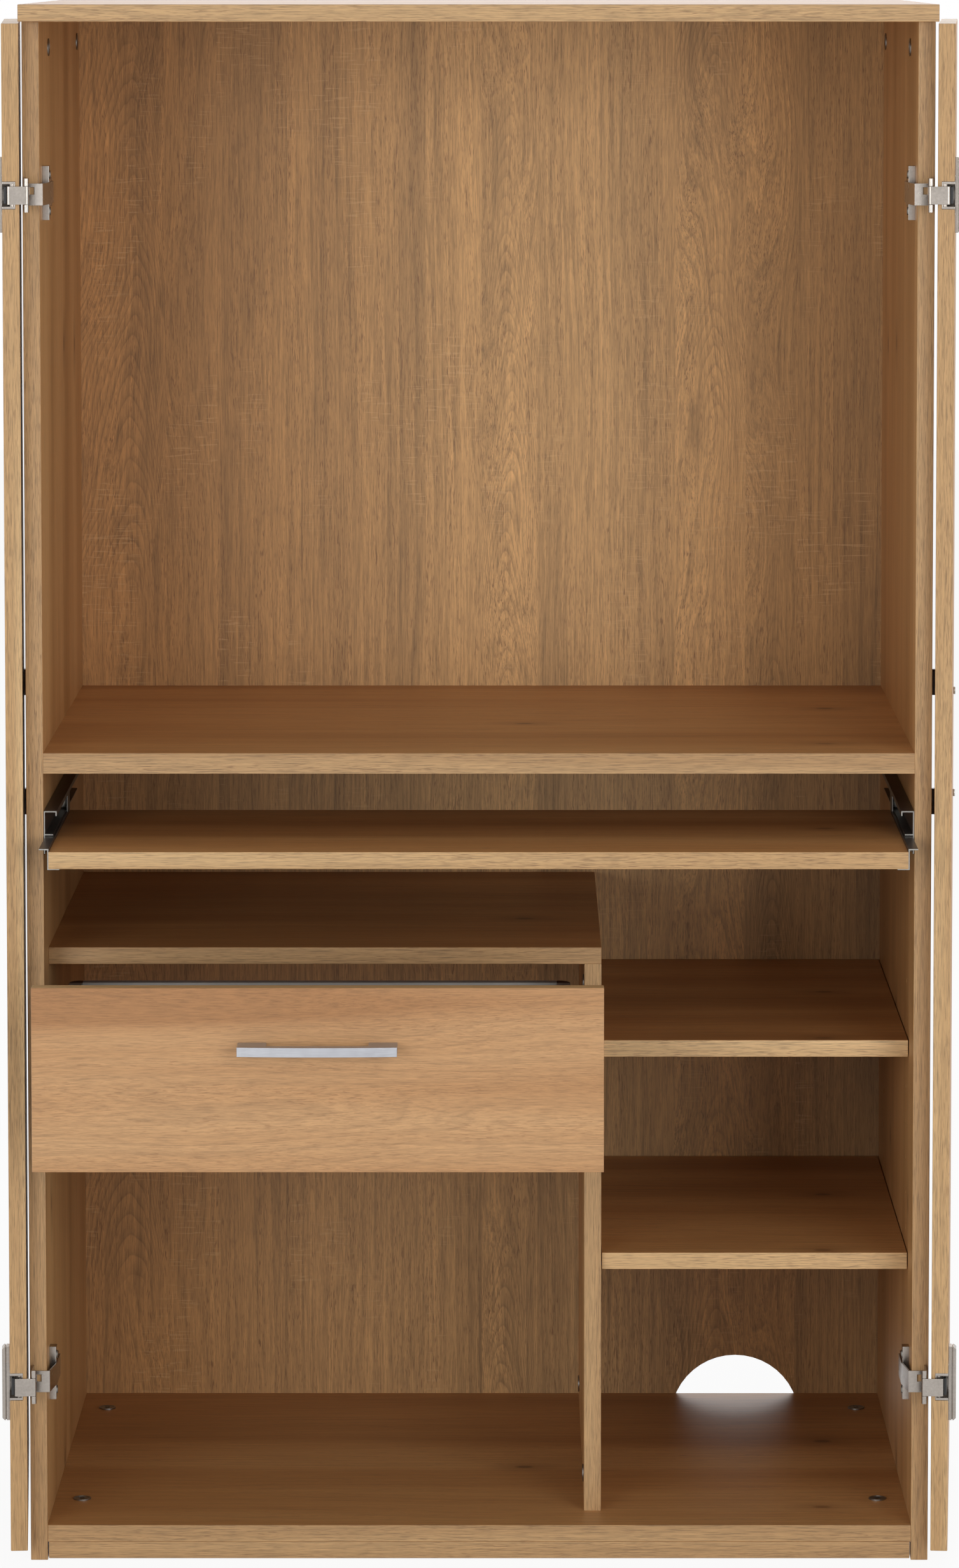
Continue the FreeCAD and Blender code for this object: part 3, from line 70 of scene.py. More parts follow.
class Finish:
    """A material and the nodes that it is put together from."""

    def __init__(self, name, roughness, metallic=0.0):
        self.material = bpy.data.materials.new(name)
        self.material.use_nodes = True
        self.nodes = self.material.node_tree.nodes
        self.links = self.material.node_tree.links
        self.shader = self.nodes["Principled BSDF"]
        self.shader.inputs["Roughness"].default_value = roughness
        self.shader.inputs["Metallic"].default_value = metallic
        self.place = self.nodes.new("ShaderNodeTexCoord").outputs["Object"]

    def fill(self, socket, value):
        """Sets a socket to a number or a colour, or joins another node's output to it."""
        if isinstance(value, (int, float, tuple)):
            socket.default_value = value
        else:
            self.links.new(value, socket)

    def marks(self, size, where=None, offset=(0, 0, 0), detail=2, roughness=0.5):
        """A soft random pattern whose marks have a size along x, y and z."""
        mapping = self.nodes.new("ShaderNodeMapping")
        mapping.inputs["Scale"].default_value = tuple(1 / part for part in size)
        mapping.inputs["Location"].default_value = offset
        self.links.new(where or self.place, mapping.inputs["Vector"])
        noise = self.nodes.new("ShaderNodeTexNoise")
        noise.inputs["Scale"].default_value = 1.0
        noise.inputs["Detail"].default_value = detail
        noise.inputs["Roughness"].default_value = roughness
        self.links.new(mapping.outputs["Vector"], noise.inputs["Vector"])
        return noise.outputs["Fac"]

    def moved(self, push, reach):
        """The piece's coordinates moved by a pattern that is nought where it leaves them alone."""
        pushed = self.nodes.new("ShaderNodeVectorMath")
        pushed.operation = "MULTIPLY_ADD"
        pushed.inputs[1].default_value = reach
        self.links.new(push, pushed.inputs[0])
        self.links.new(self.place, pushed.inputs[2])
        return pushed.outputs[0]

    def along(self, where, axis):
        """One coordinate by itself."""
        split = self.nodes.new("ShaderNodeSeparateXYZ")
        self.links.new(where, split.inputs[0])
        return split.outputs[axis.upper()]

    def worked(self, operation, value, second=0.0):
        """The result of one operation on a value and a second value."""
        node = self.nodes.new("ShaderNodeMath")
        node.operation = operation
        self.fill(node.inputs[0], value)
        self.fill(node.inputs[1], second)
        return node.outputs["Value"]

    def ramp(self, value, *stops):
        """Turns a value into a colour or a grey by its stops: (position, colour)."""
        node = self.nodes.new("ShaderNodeValToRGB")
        points = node.color_ramp.elements
        while len(points) < len(stops):
            points.new(0.5)
        for point, (position, colour) in zip(points, stops):
            point.position = position
            point.color = colour if isinstance(colour, tuple) else (colour, colour, colour, 1.0)
        self.links.new(value, node.inputs["Fac"])
        return node.outputs["Color"]

    def mixed(self, share, first, second, way="MIX"):
        """The first colour with a share of the second over it."""
        node = self.nodes.new("ShaderNodeMix")
        node.data_type = "RGBA"
        node.blend_type = way
        self.fill(node.inputs["Factor"], share)
        self.fill(node.inputs["A"], first)
        self.fill(node.inputs["B"], second)
        return node.outputs["Result"]

    def shaded(self, tone, pattern, strength=1.0):
        """A tone darkened and lightened by a grey pattern."""
        return self.mixed(strength, tone, pattern, "MULTIPLY")

    def colour(self, value):
        """Puts a colour on the surface."""
        self.links.new(value, self.shader.inputs["Base Color"])

    def gloss(self, value, low, high):
        """Roughness that wanders between two levels with a pattern."""
        node = self.nodes.new("ShaderNodeMapRange")
        node.inputs["To Min"].default_value = low
        node.inputs["To Max"].default_value = high
        self.links.new(value, node.inputs["Value"])
        self.links.new(node.outputs["Result"], self.shader.inputs["Roughness"])

    def bump(self, height, depth, strength):
        """Presses a pattern into the surface."""
        node = self.nodes.new("ShaderNodeBump")
        node.inputs["Distance"].default_value = depth
        node.inputs["Strength"].default_value = strength
        self.links.new(height, node.inputs["Height"])
        self.links.new(node.outputs["Normal"], self.shader.inputs["Normal"])


# ---------------------------------------------------------------- finishes

def scaled(tone, factor):
    """A tone made darker or lighter."""
    return (*(part * factor for part in tone[:3]), 1.0)


def drawn(grain, width, length):
    """The size of a mark that is drawn out along the grain."""
    return tuple(length if axis == grain else width for axis in "xyz")


class Oak(Finish):
    """Oak decor on boards, bands and the back sheet, its grain along one axis.

    across is the axis that its growth rings are counted along. sway is how far the rings wander and
    field how wide and long one bend is. strip is the usual width of the strips that the decor is put
    together from, if it is."""

    # The fibres bend by this share of the rings' bend.
    FIBRE_SWAY = 0.4
    # How often and how far the strips' widths differ, and how far apart two strips' patterns lie.
    STRIP_WAVES = 23.0
    STRIP_UNEVENNESS = 0.35
    STRIP_JUMP = (3.0, 0.0, 5.0)
    # How uneven the rings' spacing is, and how dark a ring is from its start to its end.
    RING_UNEVENNESS = 2.2
    RING_PROFILE = ((0.0, 0.72), (0.18, 0.86), (0.55, 1.0), (0.92, 1.04), (1.0, 0.82))
    BAND_LENGTH = 1.4
    # Half a strip plus the wander's mean, so that the arches stand near the strip's middle.
    ARCH_MIDDLE = 0.85
    PORE_DEPTH = 0.00010

    def __init__(self, name, grain, across, offset, sway, field=(0.12, 0.75), roughness=0.44, strip=None):
        super().__init__(name, roughness=roughness)
        self.grain = grain
        self.offset = offset
        self.dullness = roughness
        self.level = self.along(self.place, "x")
        if strip:
            self.cut_into_strips(strip)
        clouds = self.marks(drawn(grain, *field), offset=offset, roughness=0.4)
        wander = self.worked("SUBTRACT", clouds, 0.5)
        if strip:
            wander = self.worked("MULTIPLY", wander, self.strip_number)
        self.bent = self.moved(wander, self.sideways(sway * self.FIBRE_SWAY))
        self.rings_from = self.along(self.moved(wander, self.sideways(sway)), across)

    def sideways(self, reach):
        """A reach across the grain only."""
        return tuple(0.0 if axis == self.grain else reach for axis in "xyz")

    def cut_into_strips(self, width):
        """Upright strips of uneven widths, each with its own number and its own run of grain."""
        wave = self.worked("SINE", self.worked("MULTIPLY", self.level, self.STRIP_WAVES))
        uneven = self.worked("MULTIPLY", wave, self.STRIP_UNEVENNESS)
        count = self.worked("ADD", self.worked("MULTIPLY", self.level, 1 / width), uneven)
        self.strip_share = self.worked("FRACT", count)
        chance = self.nodes.new("ShaderNodeTexWhiteNoise")
        chance.noise_dimensions = "1D"
        self.links.new(self.worked("FLOOR", count), chance.inputs["W"])
        self.strip_number = chance.outputs["Value"]
        self.place = self.moved(self.strip_number, self.STRIP_JUMP)

    def fibre(self, width, length, detail=2, roughness=0.55):
        """Marks that follow the wandering grain."""
        return self.marks(drawn(self.grain, width, length), self.bent, self.offset, detail, roughness)

    def bands(self, dark, middle, light, width=0.075):
        """Broad, long bands of three tones."""
        clouds = self.fibre(width, self.BAND_LENGTH, detail=3, roughness=0.42)
        return self.ramp(clouds, (0.34, dark), (0.50, middle), (0.66, light))

    def ring_lines(self, tone, distance, pitch, clearness):
        """Dark lines a pitch apart, each fading slowly to one side."""
        uneven = self.worked("MULTIPLY", self.fibre(0.03, 0.9), self.RING_UNEVENNESS)
        count = self.worked("ADD", self.worked("MULTIPLY", distance, 1 / pitch), uneven)
        lines = self.ramp(self.worked("FRACT", count), *self.RING_PROFILE)
        return self.shaded(tone, lines, clearness)

    def rings(self, tone, pitch, strength):
        """Growth rings along the grain, clearer in some places than in others."""
        clearness = self.ramp(self.fibre(0.05, 0.45), (0.40, strength * 0.2), (0.58, strength))
        return self.ring_lines(tone, self.rings_from, pitch, clearness)

    def arches(self, tone, pitch, drop, strength):
        """Growth rings that the saw has cut lengthwise: nested arches up the middle of some strips."""
        wander = self.worked("MULTIPLY", self.marks((9.0, 9.0, 0.3)), 0.7)
        middle = self.worked("ADD", self.strip_share, self.worked("SUBTRACT", wander, self.ARCH_MIDDLE))
        fall = self.worked("MULTIPLY", self.worked("MULTIPLY", middle, middle), drop)
        height = self.worked("ADD", self.along(self.place, "z"), fall)
        strips = self.ramp(self.strip_number, (0.42, 0.0), (0.45, strength))
        patches = self.ramp(self.marks((9.0, 9.0, 0.22), offset=(3, 1, 2)), (0.44, 0.0), (0.56, 1.0))
        return self.ring_lines(tone, height, pitch, self.shaded(strips, patches))

    def threads(self, tone, width, length, strength):
        """Fine light and dark streaks."""
        streaks = self.fibre(width, length, detail=3, roughness=0.6)
        return self.shaded(tone, self.ramp(streaks, (0.30, 0.72), (0.50, 1.0), (0.70, 1.17)), strength)

    def pores(self, tone, pore, width, length, strength):
        """Short dark pores, thicker in some bands than in others, pressed into the surface."""
        holes = self.fibre(width, length, detail=1)
        clusters = self.ramp(self.fibre(0.011, 0.30), (0.38, strength), (0.62, strength * 0.3))
        shown = self.shaded(self.ramp(holes, (0.34, 1.0), (0.43, 0.0)), clusters)
        self.gloss(holes, self.dullness - 0.05, self.dullness + 0.09)
        self.bump(holes, self.PORE_DEPTH, 0.3)
        return self.mixed(shown, tone, pore)

    def saw_marks(self, tone, mark, length, height, strength):
        """Rare patches of faint pale marks across the grain, as a saw leaves them."""
        cuts = self.marks(drawn(self.grain, length, height), detail=1)
        cuts = self.ramp(cuts, (0.60, 0.0), (0.68, 1.0))
        patches = self.marks(drawn(self.grain, 0.07, 0.16), detail=1)
        patches = self.ramp(patches, (0.54, 0.0), (0.64, strength))
        return self.mixed(self.shaded(cuts, patches), tone, mark)

    def knots(self, tone, knot, side, spacing):
        """Rare small knots: a dark crack in a darker smudge. side is the axis across the board's face."""
        spot = self.nodes.new("ShaderNodeCombineXYZ")
        self.links.new(self.along(self.bent, self.grain), spot.inputs["X"])
        self.links.new(self.along(self.bent, side), spot.inputs["Y"])
        mapping = self.nodes.new("ShaderNodeMapping")
        mapping.inputs["Scale"].default_value = (0.6 / spacing, 1 / spacing, 1.0)
        mapping.inputs["Location"].default_value = (0.75, 0.4, 0.0)
        self.links.new(spot.outputs["Vector"], mapping.inputs["Vector"])
        cells = self.nodes.new("ShaderNodeTexVoronoi")
        cells.voronoi_dimensions = "2D"
        cells.inputs["Scale"].default_value = 1.0
        self.links.new(mapping.outputs["Vector"], cells.inputs["Vector"])
        chosen = self.ramp(self.along(cells.outputs["Color"], "x"), (0.55, 0.0), (0.60, 1.0))
        smudge = self.ramp(cells.outputs["Distance"], (0.014, 0.85), (0.028, 0.30), (0.11, 0.0))
        return self.mixed(self.shaded(smudge, chosen), tone, knot)


LEVEL_TONES = (srgb(166, 114, 64), srgb(184, 132, 79), srgb(197, 147, 93))
UPRIGHT_TONES = (srgb(170, 124, 74), srgb(190, 143, 91), srgb(202, 157, 104))
DRAWER_TONES = (srgb(168, 119, 73), srgb(186, 139, 92), srgb(198, 154, 107))
DOOR_BAND = (srgb(188, 149, 101), srgb(207, 171, 122))
BODY_BAND = (srgb(174, 136, 91), srgb(192, 155, 108))
# The shelves' edge band is a paler copy of the body's band. This is painted light for the light that their
# set-back front edges miss.
SHELF_BAND_PAINTED_LIGHT = (srgb(203, 165, 116), srgb(223, 188, 138))
# The foil's tones from left to right: paler in the middle and darker towards the sides. This is painted
# shade for the light that the cabinet's side panels keep off the back sheet's edges.
FOIL_SPREAD_PAINTED_SIDE_SHADE = ((0.02, srgb(184, 134, 80)), (0.22, srgb(197, 149, 93)), (0.45, srgb(207, 162, 106)),
               (0.66, srgb(209, 166, 111)), (0.84, srgb(194, 149, 94)), (1.0, srgb(180, 135, 81)))
BOARD_PORES = srgb(120, 78, 42)
DRAWER_PORES = srgb(139, 94, 55)
BAND_PORES = srgb(120, 84, 50)
FOIL_PORES = srgb(112, 72, 38)
KNOT_TONE = srgb(92, 54, 28)
SAW_MARK_TONE = srgb(214, 174, 124)


def board_face(name, grain, offset, tones):
    """The smooth coating of the boards' faces."""
    oak = Oak(name, grain, "y", offset, sway=0.10)
    tone = oak.bands(*tones)
    tone = oak.rings(tone, pitch=0.011, strength=0.45)
    tone = oak.threads(tone, width=0.0022, length=0.06, strength=0.55)
    tone = oak.pores(tone, BOARD_PORES, width=0.0009, length=0.014, strength=0.45)
    oak.colour(oak.knots(tone, KNOT_TONE, side="y", spacing=0.22))
    return oak.material


def drawer_face(name):
    """The drawer front's livelier figure."""
    oak = Oak(name, "x", "z", (0.4, 3.1, 0.35), sway=0.2)
    tone = oak.bands(*DRAWER_TONES, width=0.05)
    tone = oak.rings(tone, pitch=0.0085, strength=0.45)
    tone = oak.threads(tone, width=0.0010, length=0.018, strength=0.85)
    oak.colour(oak.pores(tone, DRAWER_PORES, width=0.0006, length=0.009, strength=0.45))
    return oak.material


def edge_band(name, grain, across, dark, light):
    """The band glued on an edge: nearly plain, with many short pores."""
    oak = Oak(name, grain, across, (0.7, 0.2, 0.4), sway=0.01)
    tone = oak.bands(dark, dark, light, width=0.03)
    tone = oak.threads(tone, width=0.0011, length=0.05, strength=0.8)
    streaks = oak.fibre(0.0009, 0.020, detail=2)
    tone = oak.shaded(tone, oak.ramp(streaks, (0.33, 0.70), (0.46, 1.0), (0.64, 1.07)))
    oak.colour(oak.pores(tone, BAND_PORES, width=0.0006, length=0.012, strength=0.6))
    return oak.material


SHEET_WIDTH = 0.8


def back_foil(name):
    """The back sheet's foil: upright strips with arches, with painted shade that makes it paler in its
    middle and darker towards its sides.
    """
    oak = Oak(name, "z", "x", (0.3, 0.0, 0.1), sway=0.3, field=(0.09, 0.4), roughness=0.5, strip=0.08)
    left_to_right = oak.worked("ADD", oak.worked("MULTIPLY", oak.level, 1 / SHEET_WIDTH), 0.5)
    # Painted shade: the foil is darkened towards its left and right sides.
    tone = oak.ramp(left_to_right, *FOIL_SPREAD_PAINTED_SIDE_SHADE)
    tone = oak.shaded(tone, oak.ramp(oak.strip_number, (0.0, 0.86), (1.0, 1.07)))
    clouds = oak.fibre(0.05, 1.1, detail=3, roughness=0.45)
    tone = oak.shaded(tone, oak.ramp(clouds, (0.34, 0.80), (0.50, 0.98), (0.66, 1.10)))
    tone = oak.rings(tone, pitch=0.0125, strength=0.8)
    tone = oak.arches(tone, pitch=0.019, drop=0.7, strength=1.0)
    tone = oak.threads(tone, width=0.0026, length=0.11, strength=0.8)
    tone = oak.threads(tone, width=0.0012, length=0.025, strength=1.0)
    tone = oak.saw_marks(tone, SAW_MARK_TONE, length=0.022, height=0.0016, strength=0.38)
    oak.colour(oak.pores(tone, FOIL_PORES, width=0.0007, length=0.010, strength=0.65))
    return oak.material


FINE_GRAIN = (0.002, 0.002, 0.002)
LONG_LINES = (0.03, 0.0006, 0.0006)
LINE_DEPTH = 0.00002


def brushed(name, tone, roughness, lines=FINE_GRAIN):
    """Metal with fine drawn lines and slight stains."""
    finish = Finish(name, roughness=roughness, metallic=1.0)
    drawn_lines = finish.marks(lines, detail=3)
    stains = finish.marks((0.012, 0.012, 0.012), detail=3)
    tone = finish.shaded(finish.ramp(drawn_lines, (0.3, scaled(tone, 0.88)), (0.7, tone)),
                         finish.ramp(stains, (0.35, 0.94), (0.65, 1.0)))
    finish.colour(tone)
    finish.gloss(stains, roughness - 0.06, roughness + 0.08)
    finish.bump(drawn_lines, LINE_DEPTH, 0.4)
    return finish.material


def coated(name, tone, roughness, speck=0.00004, grain=0.0013):
    """Paint, foil or moulded plastic: one tone with a slight texture and dull patches."""
    finish = Finish(name, roughness=roughness)
    specks = finish.marks((grain, grain, grain))
    patches = finish.marks((0.06, 0.06, 0.06), detail=3)
    finish.colour(finish.ramp(patches, (0.35, scaled(tone, 0.92)), (0.65, scaled(tone, 1.04))))
    finish.gloss(patches, roughness - 0.06, roughness + 0.06)
    finish.bump(specks, speck, 0.5)
    return finish.material


FINISHES = {
    "oak_level": board_face("oak_level_boards", "x", (0.1, 0.0, 0.0), LEVEL_TONES),
    "oak_upright": board_face("oak_upright_boards", "z", (0.2, 0.4, 0.0), UPRIGHT_TONES),
    "drawer_oak": drawer_face("oak_drawer_front"),
    "pale_band_level": edge_band("pale_band_level", "x", "z", *DOOR_BAND),
    "pale_band_upright": edge_band("pale_band_upright", "z", "x", *DOOR_BAND),
    "band_level": edge_band("body_band_level", "x", "z", *BODY_BAND),
    "band_upright": edge_band("body_band_upright", "z", "x", *BODY_BAND),
    # Painted light: the shelves' band is made paler than the body's band.
    "painted_light_shelf_band": edge_band("painted_light_shelf_band_level", "x", "z", *SHELF_BAND_PAINTED_LIGHT),
    "foil": back_foil("back_sheet_foil"),
    "raw_fibreboard": coated("raw_fibreboard", srgb(146, 114, 80), 0.75, speck=0.0001, grain=0.0022),
    "grey_wrap": coated("grey_drawer_wrap", srgb(182, 181, 176), 0.5),
    "black_plastic": coated("black_plastic", srgb(22, 22, 23), 0.42),
    "nylon": coated("white_nylon", srgb(214, 211, 200), 0.38),
    "slide_paint": coated("dark_slide_coating", srgb(50, 45, 42), 0.36),
    "satin_silver": brushed("satin_silver", srgb(172, 173, 178), 0.42, LONG_LINES),
    "nickel": brushed("nickel_plating", srgb(172, 164, 156), 0.24),
    "zinc": brushed("zinc_plating", srgb(150, 148, 143), 0.38),
}


# ---------------------------------------------------------------- shaping helpers

WELD_DISTANCE = 0.000002
FLAT_ANGLE = math.radians(0.5)
SHARP_ANGLE = math.radians(30)


def nothing_selected():
    """Leaves edit mode and deselects everything."""
    if bpy.context.object and bpy.context.object.mode != "OBJECT":
        bpy.ops.object.mode_set(mode="OBJECT")
    bpy.ops.object.select_all(action="DESELECT")


def take(*pieces):
    """Selects these pieces alone, the first as the active one."""
    nothing_selected()
    for piece in pieces:
        piece.select_set(True)
    bpy.context.view_layer.objects.active = pieces[0]


def settle(piece):
    """Puts a piece's place into its mesh, its object at the origin."""
    take(piece)
    bpy.ops.object.transform_apply(location=True, rotation=True, scale=True)


def finish_piece(piece, name, body, replaced=()):
    """Names a piece, shades it and fixes it to its body."""
    piece.name = name
    piece.data.name = name
    settle(piece)
    bpy.ops.object.shade_smooth_by_angle(angle=SHARP_ANGLE)
    even = piece.modifiers.new("flat_faces", "WEIGHTED_NORMAL")
    even.keep_sharp = True
    bpy.ops.object.modifier_apply(modifier=even.name)
    nothing_selected()
    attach(piece, body)
    if replaced:
        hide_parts(*replaced)


def bevelled(piece, width, segments):
    """Eases a piece's sharp edges."""
    take(piece)
    edge = piece.modifiers.new("edge", "BEVEL")
    edge.width = width
    edge.segments = segments
    edge.limit_method = "ANGLE"
    edge.angle_limit = SHARP_ANGLE
    bpy.ops.object.modifier_apply(modifier=edge.name)


def solid_copy(node):
    """A closed copy of a CAD node, its flat faces made whole again."""
    source = bpy.data.objects[node]
    piece = source.copy()
    piece.data = source.data.copy()
    bpy.context.scene.collection.objects.link(piece)
    for key in list(piece.keys()):
        del piece[key]
    piece.parent = None
    piece.data.materials.clear()
    take(piece)
    bpy.ops.object.mode_set(mode="EDIT")
    bpy.ops.mesh.select_all(action="SELECT")
    bpy.ops.mesh.remove_doubles(threshold=WELD_DISTANCE)
    bpy.ops.mesh.dissolve_limited(angle_limit=FLAT_ANGLE)
    bpy.ops.object.mode_set(mode="OBJECT")
    return piece


def paint(piece, base, *others):
    """Gives a piece its finish. Each other is a finish and the test of a face's normal that it is for."""
    for finish in (base, *(finish for finish, test in others)):
        piece.data.materials.append(FINISHES[finish])
    for face in piece.data.polygons:
        for number, (finish, test) in enumerate(others, 1):
            if test(face.normal):
                face.material_index = number


# ---------------------------------------------------------------- boards

# A face looks along an axis where this part of its normal or more lies on it.
ALONG_AXIS = 0.7


def to_front(normal):
    return normal.y < -ALONG_AXIS


def to_back(normal):
    return normal.y > ALONG_AXIS


def on_door_edge(normal):
    return abs(normal.y) > ALONG_AXIS or abs(normal.z) > ALONG_AXIS


def on_drawer_front_edge(normal):
    return abs(normal.y) < 1 - ALONG_AXIS


def dressed(node, kind, ease, segments, finish, *others):
    """A CAD piece whose shape is right, with its sharp edges eased and its finishes on."""
    piece = solid_copy(node)
    bevelled(piece, ease, segments)
    paint(piece, finish, *others)
    finish_piece(piece, f"{node}_{kind}", BODY_OF[node], [node])


BOARDS = {
    "left_side_panel": ("oak_upright", "band_upright"),
    "right_side_panel": ("oak_upright", "band_upright"),
    "divider_panel": ("oak_upright", "band_upright"),
    "top_board": ("oak_level", "band_level"),
    "bottom_board": ("oak_level", "band_level"),
    "plinth_rail": ("oak_level", "band_level"),
    "desk_board": ("oak_level", "band_level"),
    "drawer_top_shelf": ("oak_level", "band_level"),
    # The two right shelves get the paler band, which is painted light.
    "upper_right_shelf": ("oak_level", "painted_light_shelf_band"),
    "lower_right_shelf": ("oak_level", "painted_light_shelf_band"),
    "keyboard_tray_board": ("oak_level", "pale_band_level"),
}

# How far the sharp edges of each kind of piece are eased.
BOARD_EASE = 0.0005
DOOR_EASE = 0.0006
SHEET_EASE = 0.0002
WALL_EASE = 0.0004
CORNER_PIECE_EASE = 0.0006
HANDLE_EASE = 0.0007
HINGE_EASE = 0.00025
ROLLER_EASE = 0.0006
HANDLE_SCREW_EASE = 0.0009

for node, (face, band) in BOARDS.items():
    dressed(node, "board", BOARD_EASE, 2, face, (band, to_front))
for node in ("left_door_panel", "right_door_panel"):
    dressed(node, "board", DOOR_EASE, 2, "oak_upright", ("pale_band_upright", on_door_edge))
dressed("drawer_front", "board", DOOR_EASE, 2, "drawer_oak", ("pale_band_level", on_drawer_front_edge))
dressed("back_panel", "sheet", SHEET_EASE, 1, "foil", ("raw_fibreboard", to_back))
for node in ("drawer_left_wall", "drawer_right_wall", "drawer_back_wall", "drawer_bottom"):
    dressed(node, "piece", WALL_EASE, 2, "grey_wrap")
dressed("drawer_corner_pieces", "piece", CORNER_PIECE_EASE, 2, "black_plastic")

# ---------------------------------------------------------------- handles, hinges and slides

for node in ("drawer_handle", "left_door_handle", "right_door_handle"):
    dressed(node, "piece", HANDLE_EASE, 3, "satin_silver")

for node, slot in SLOT_OF.items():
    if slot == "hinge_nickel":
        dressed(node, "piece", HINGE_EASE, 2, "nickel")
    if slot == "slide_paint":
        dressed(node, "piece", SHEET_EASE, 1, "slide_paint", ("zinc", to_front))
    if slot == "roller_plastic":
        dressed(node, "piece", ROLLER_EASE, 2, "nylon")
for node in ("left_hinge_catches", "right_hinge_catches"):
    dressed(node, "piece", WALL_EASE, 2, "black_plastic")
for node in ("shelf_pins", "hinge_plate_screws", "cam_bolts"):
    dressed(node, "piece", SHEET_EASE, 1, "zinc")


def loose_parts(node):
    """The lowest and the highest corner of each solid of a node."""
    mesh = bmesh.new()
    mesh.from_mesh(bpy.data.objects[node].data)
    bmesh.ops.remove_doubles(mesh, verts=mesh.verts, dist=WELD_DISTANCE)
    left = set(mesh.verts)
    found = []
    while left:
        queue = [left.pop()]
        corners = list(queue)
        while queue:
            for edge in queue.pop().link_edges:
                for corner in edge.verts:
                    if corner in left:
                        left.remove(corner)
                        queue.append(corner)
                        corners.append(corner)
        low = Vector(min(c.co[n] for c in corners) for n in range(3))
        high = Vector(max(c.co[n] for c in corners) for n in range(3))
        found.append((low, high))
    mesh.free()
    return found


def upward_faces(piece, level):
    """Selects, in edit mode, the faces that look up at one height of the piece."""
    mesh = bmesh.from_edit_mesh(piece.data)
    for face in mesh.faces:
        face.select_set(face.normal.z > 0.9 and abs(face.calc_center_median().z - level) < 0.00002)
    bmesh.update_edit_mesh(piece.data)


GROOVE_WIDTH = 0.3
GROOVE_DEPTH = 0.35
CROSS_BAR = 0.42


def crossed_disc(radius, height, rim, cross, depth, sides):
    """A round head on the xy plane with a grooved rim and a cross-shaped recess in its top.

    The groove's width and depth are shares of the rim, and the cross's bars a share of its length."""
    nothing_selected()
    bpy.ops.mesh.primitive_cylinder_add(vertices=sides, radius=radius, depth=height,
                                        location=(0, 0, height / 2))
    disc = bpy.context.object
    settle(disc)
    bpy.ops.object.mode_set(mode="EDIT")
    bpy.ops.mesh.select_mode(type="FACE")
    upward_faces(disc, height)
    bpy.ops.mesh.inset(thickness=rim, depth=0)
    bpy.ops.mesh.inset(thickness=rim * GROOVE_WIDTH, depth=-rim * GROOVE_DEPTH)
    bpy.ops.object.mode_set(mode="OBJECT")
    for turn in (45, 135):
        nothing_selected()
        bpy.ops.mesh.primitive_cube_add(size=1, location=(0, 0, height))
        slot = bpy.context.object
        slot.scale = (2 * cross, cross * CROSS_BAR, 2 * depth)
        slot.rotation_euler.z = math.radians(turn)
        settle(slot)
        take(disc)
        cut = disc.modifiers.new("slot", "BOOLEAN")
        cut.operation = "DIFFERENCE"
        cut.solver = "EXACT"
        cut.object = slot
        bpy.ops.object.modifier_apply(modifier=cut.name)
        bpy.data.objects.remove(slot)
    return disc


def copied_to(pattern, spots):
    """Copies of a pattern, each turned so that its z axis points a given way, as one piece."""
    copies = []
    for place, way in spots:
        copy = pattern.copy()
        copy.data = pattern.data.copy()
        bpy.context.scene.collection.objects.link(copy)
        turn = Vector((0, 0, 1)).rotation_difference(Vector(way)).to_matrix().to_4x4()
        copy.data.transform(Matrix.Translation(place) @ turn)
        copies.append(copy)
    bpy.data.objects.remove(pattern)
    take(*copies)
    bpy.ops.object.join()
    return bpy.context.object


def outward(node, toward):
    """Where each small round piece of a node shows, and the way that it looks."""
    spots = []
    for low, high in loose_parts(node):
        middle = (low + high) / 2
        way = Vector(toward(middle, high - low))
        reach = Vector(way[n] * (high[n] - low[n]) / 2 for n in range(3))
        spots.append((middle + reach, way))
    return spots


def inner_way(middle, size):
    """Towards the middle of the cabinet."""
    return (-1 if middle.x > 0 else 1, 0, 0)


# The bottom board's cam locks lie within this height over the sides' lower edges.
BOTTOM_CAM_ZONE = 0.1


def cam_way(middle, size):
    """A cam lock looks inwards from an upright board, up from the bottom board and down from the others."""
    if size.x < min(size.y, size.z):
        return inner_way(middle, size)
    return (0, 0, 1 if middle.z < SIDE_LOW_CORNER.z + BOTTOM_CAM_ZONE else -1)


CAM_HEIGHT = 0.0005
CAM_FACE = crossed_disc(radius=0.0079, height=CAM_HEIGHT * 2, rim=0.0012, cross=0.0035, depth=0.0012,
                        sides=48)
CAM_SPOTS = [(place - Vector(way) * CAM_HEIGHT, way) for place, way in outward("cam_locks", cam_way)]
CAMS = copied_to(CAM_FACE, CAM_SPOTS)
paint(CAMS, "zinc")
finish_piece(CAMS, "cam_lock_faces", "cabinet", ["cam_locks"])

PLATE_HEAD = crossed_disc(radius=0.0036, height=0.0008, rim=0.0005, cross=0.0022, depth=0.0012, sides=32)
PLATE_HEADS = copied_to(PLATE_HEAD, outward("hinge_plate_screws", inner_way))
paint(PLATE_HEADS, "zinc")
finish_piece(PLATE_HEADS, "hinge_plate_screw_heads", "cabinet")

for node in ("left_door_handle_screws", "right_door_handle_screws", "drawer_handle_screws"):
    dressed(node, "piece", HANDLE_SCREW_EASE, 3, "nickel")

# ---------------------------------------------------------------- floor, light and camera

FLOOR_SIZE = 24.0
FLOOR_DROP = 0.0005
FLOOR_WHITENESS = 0.92


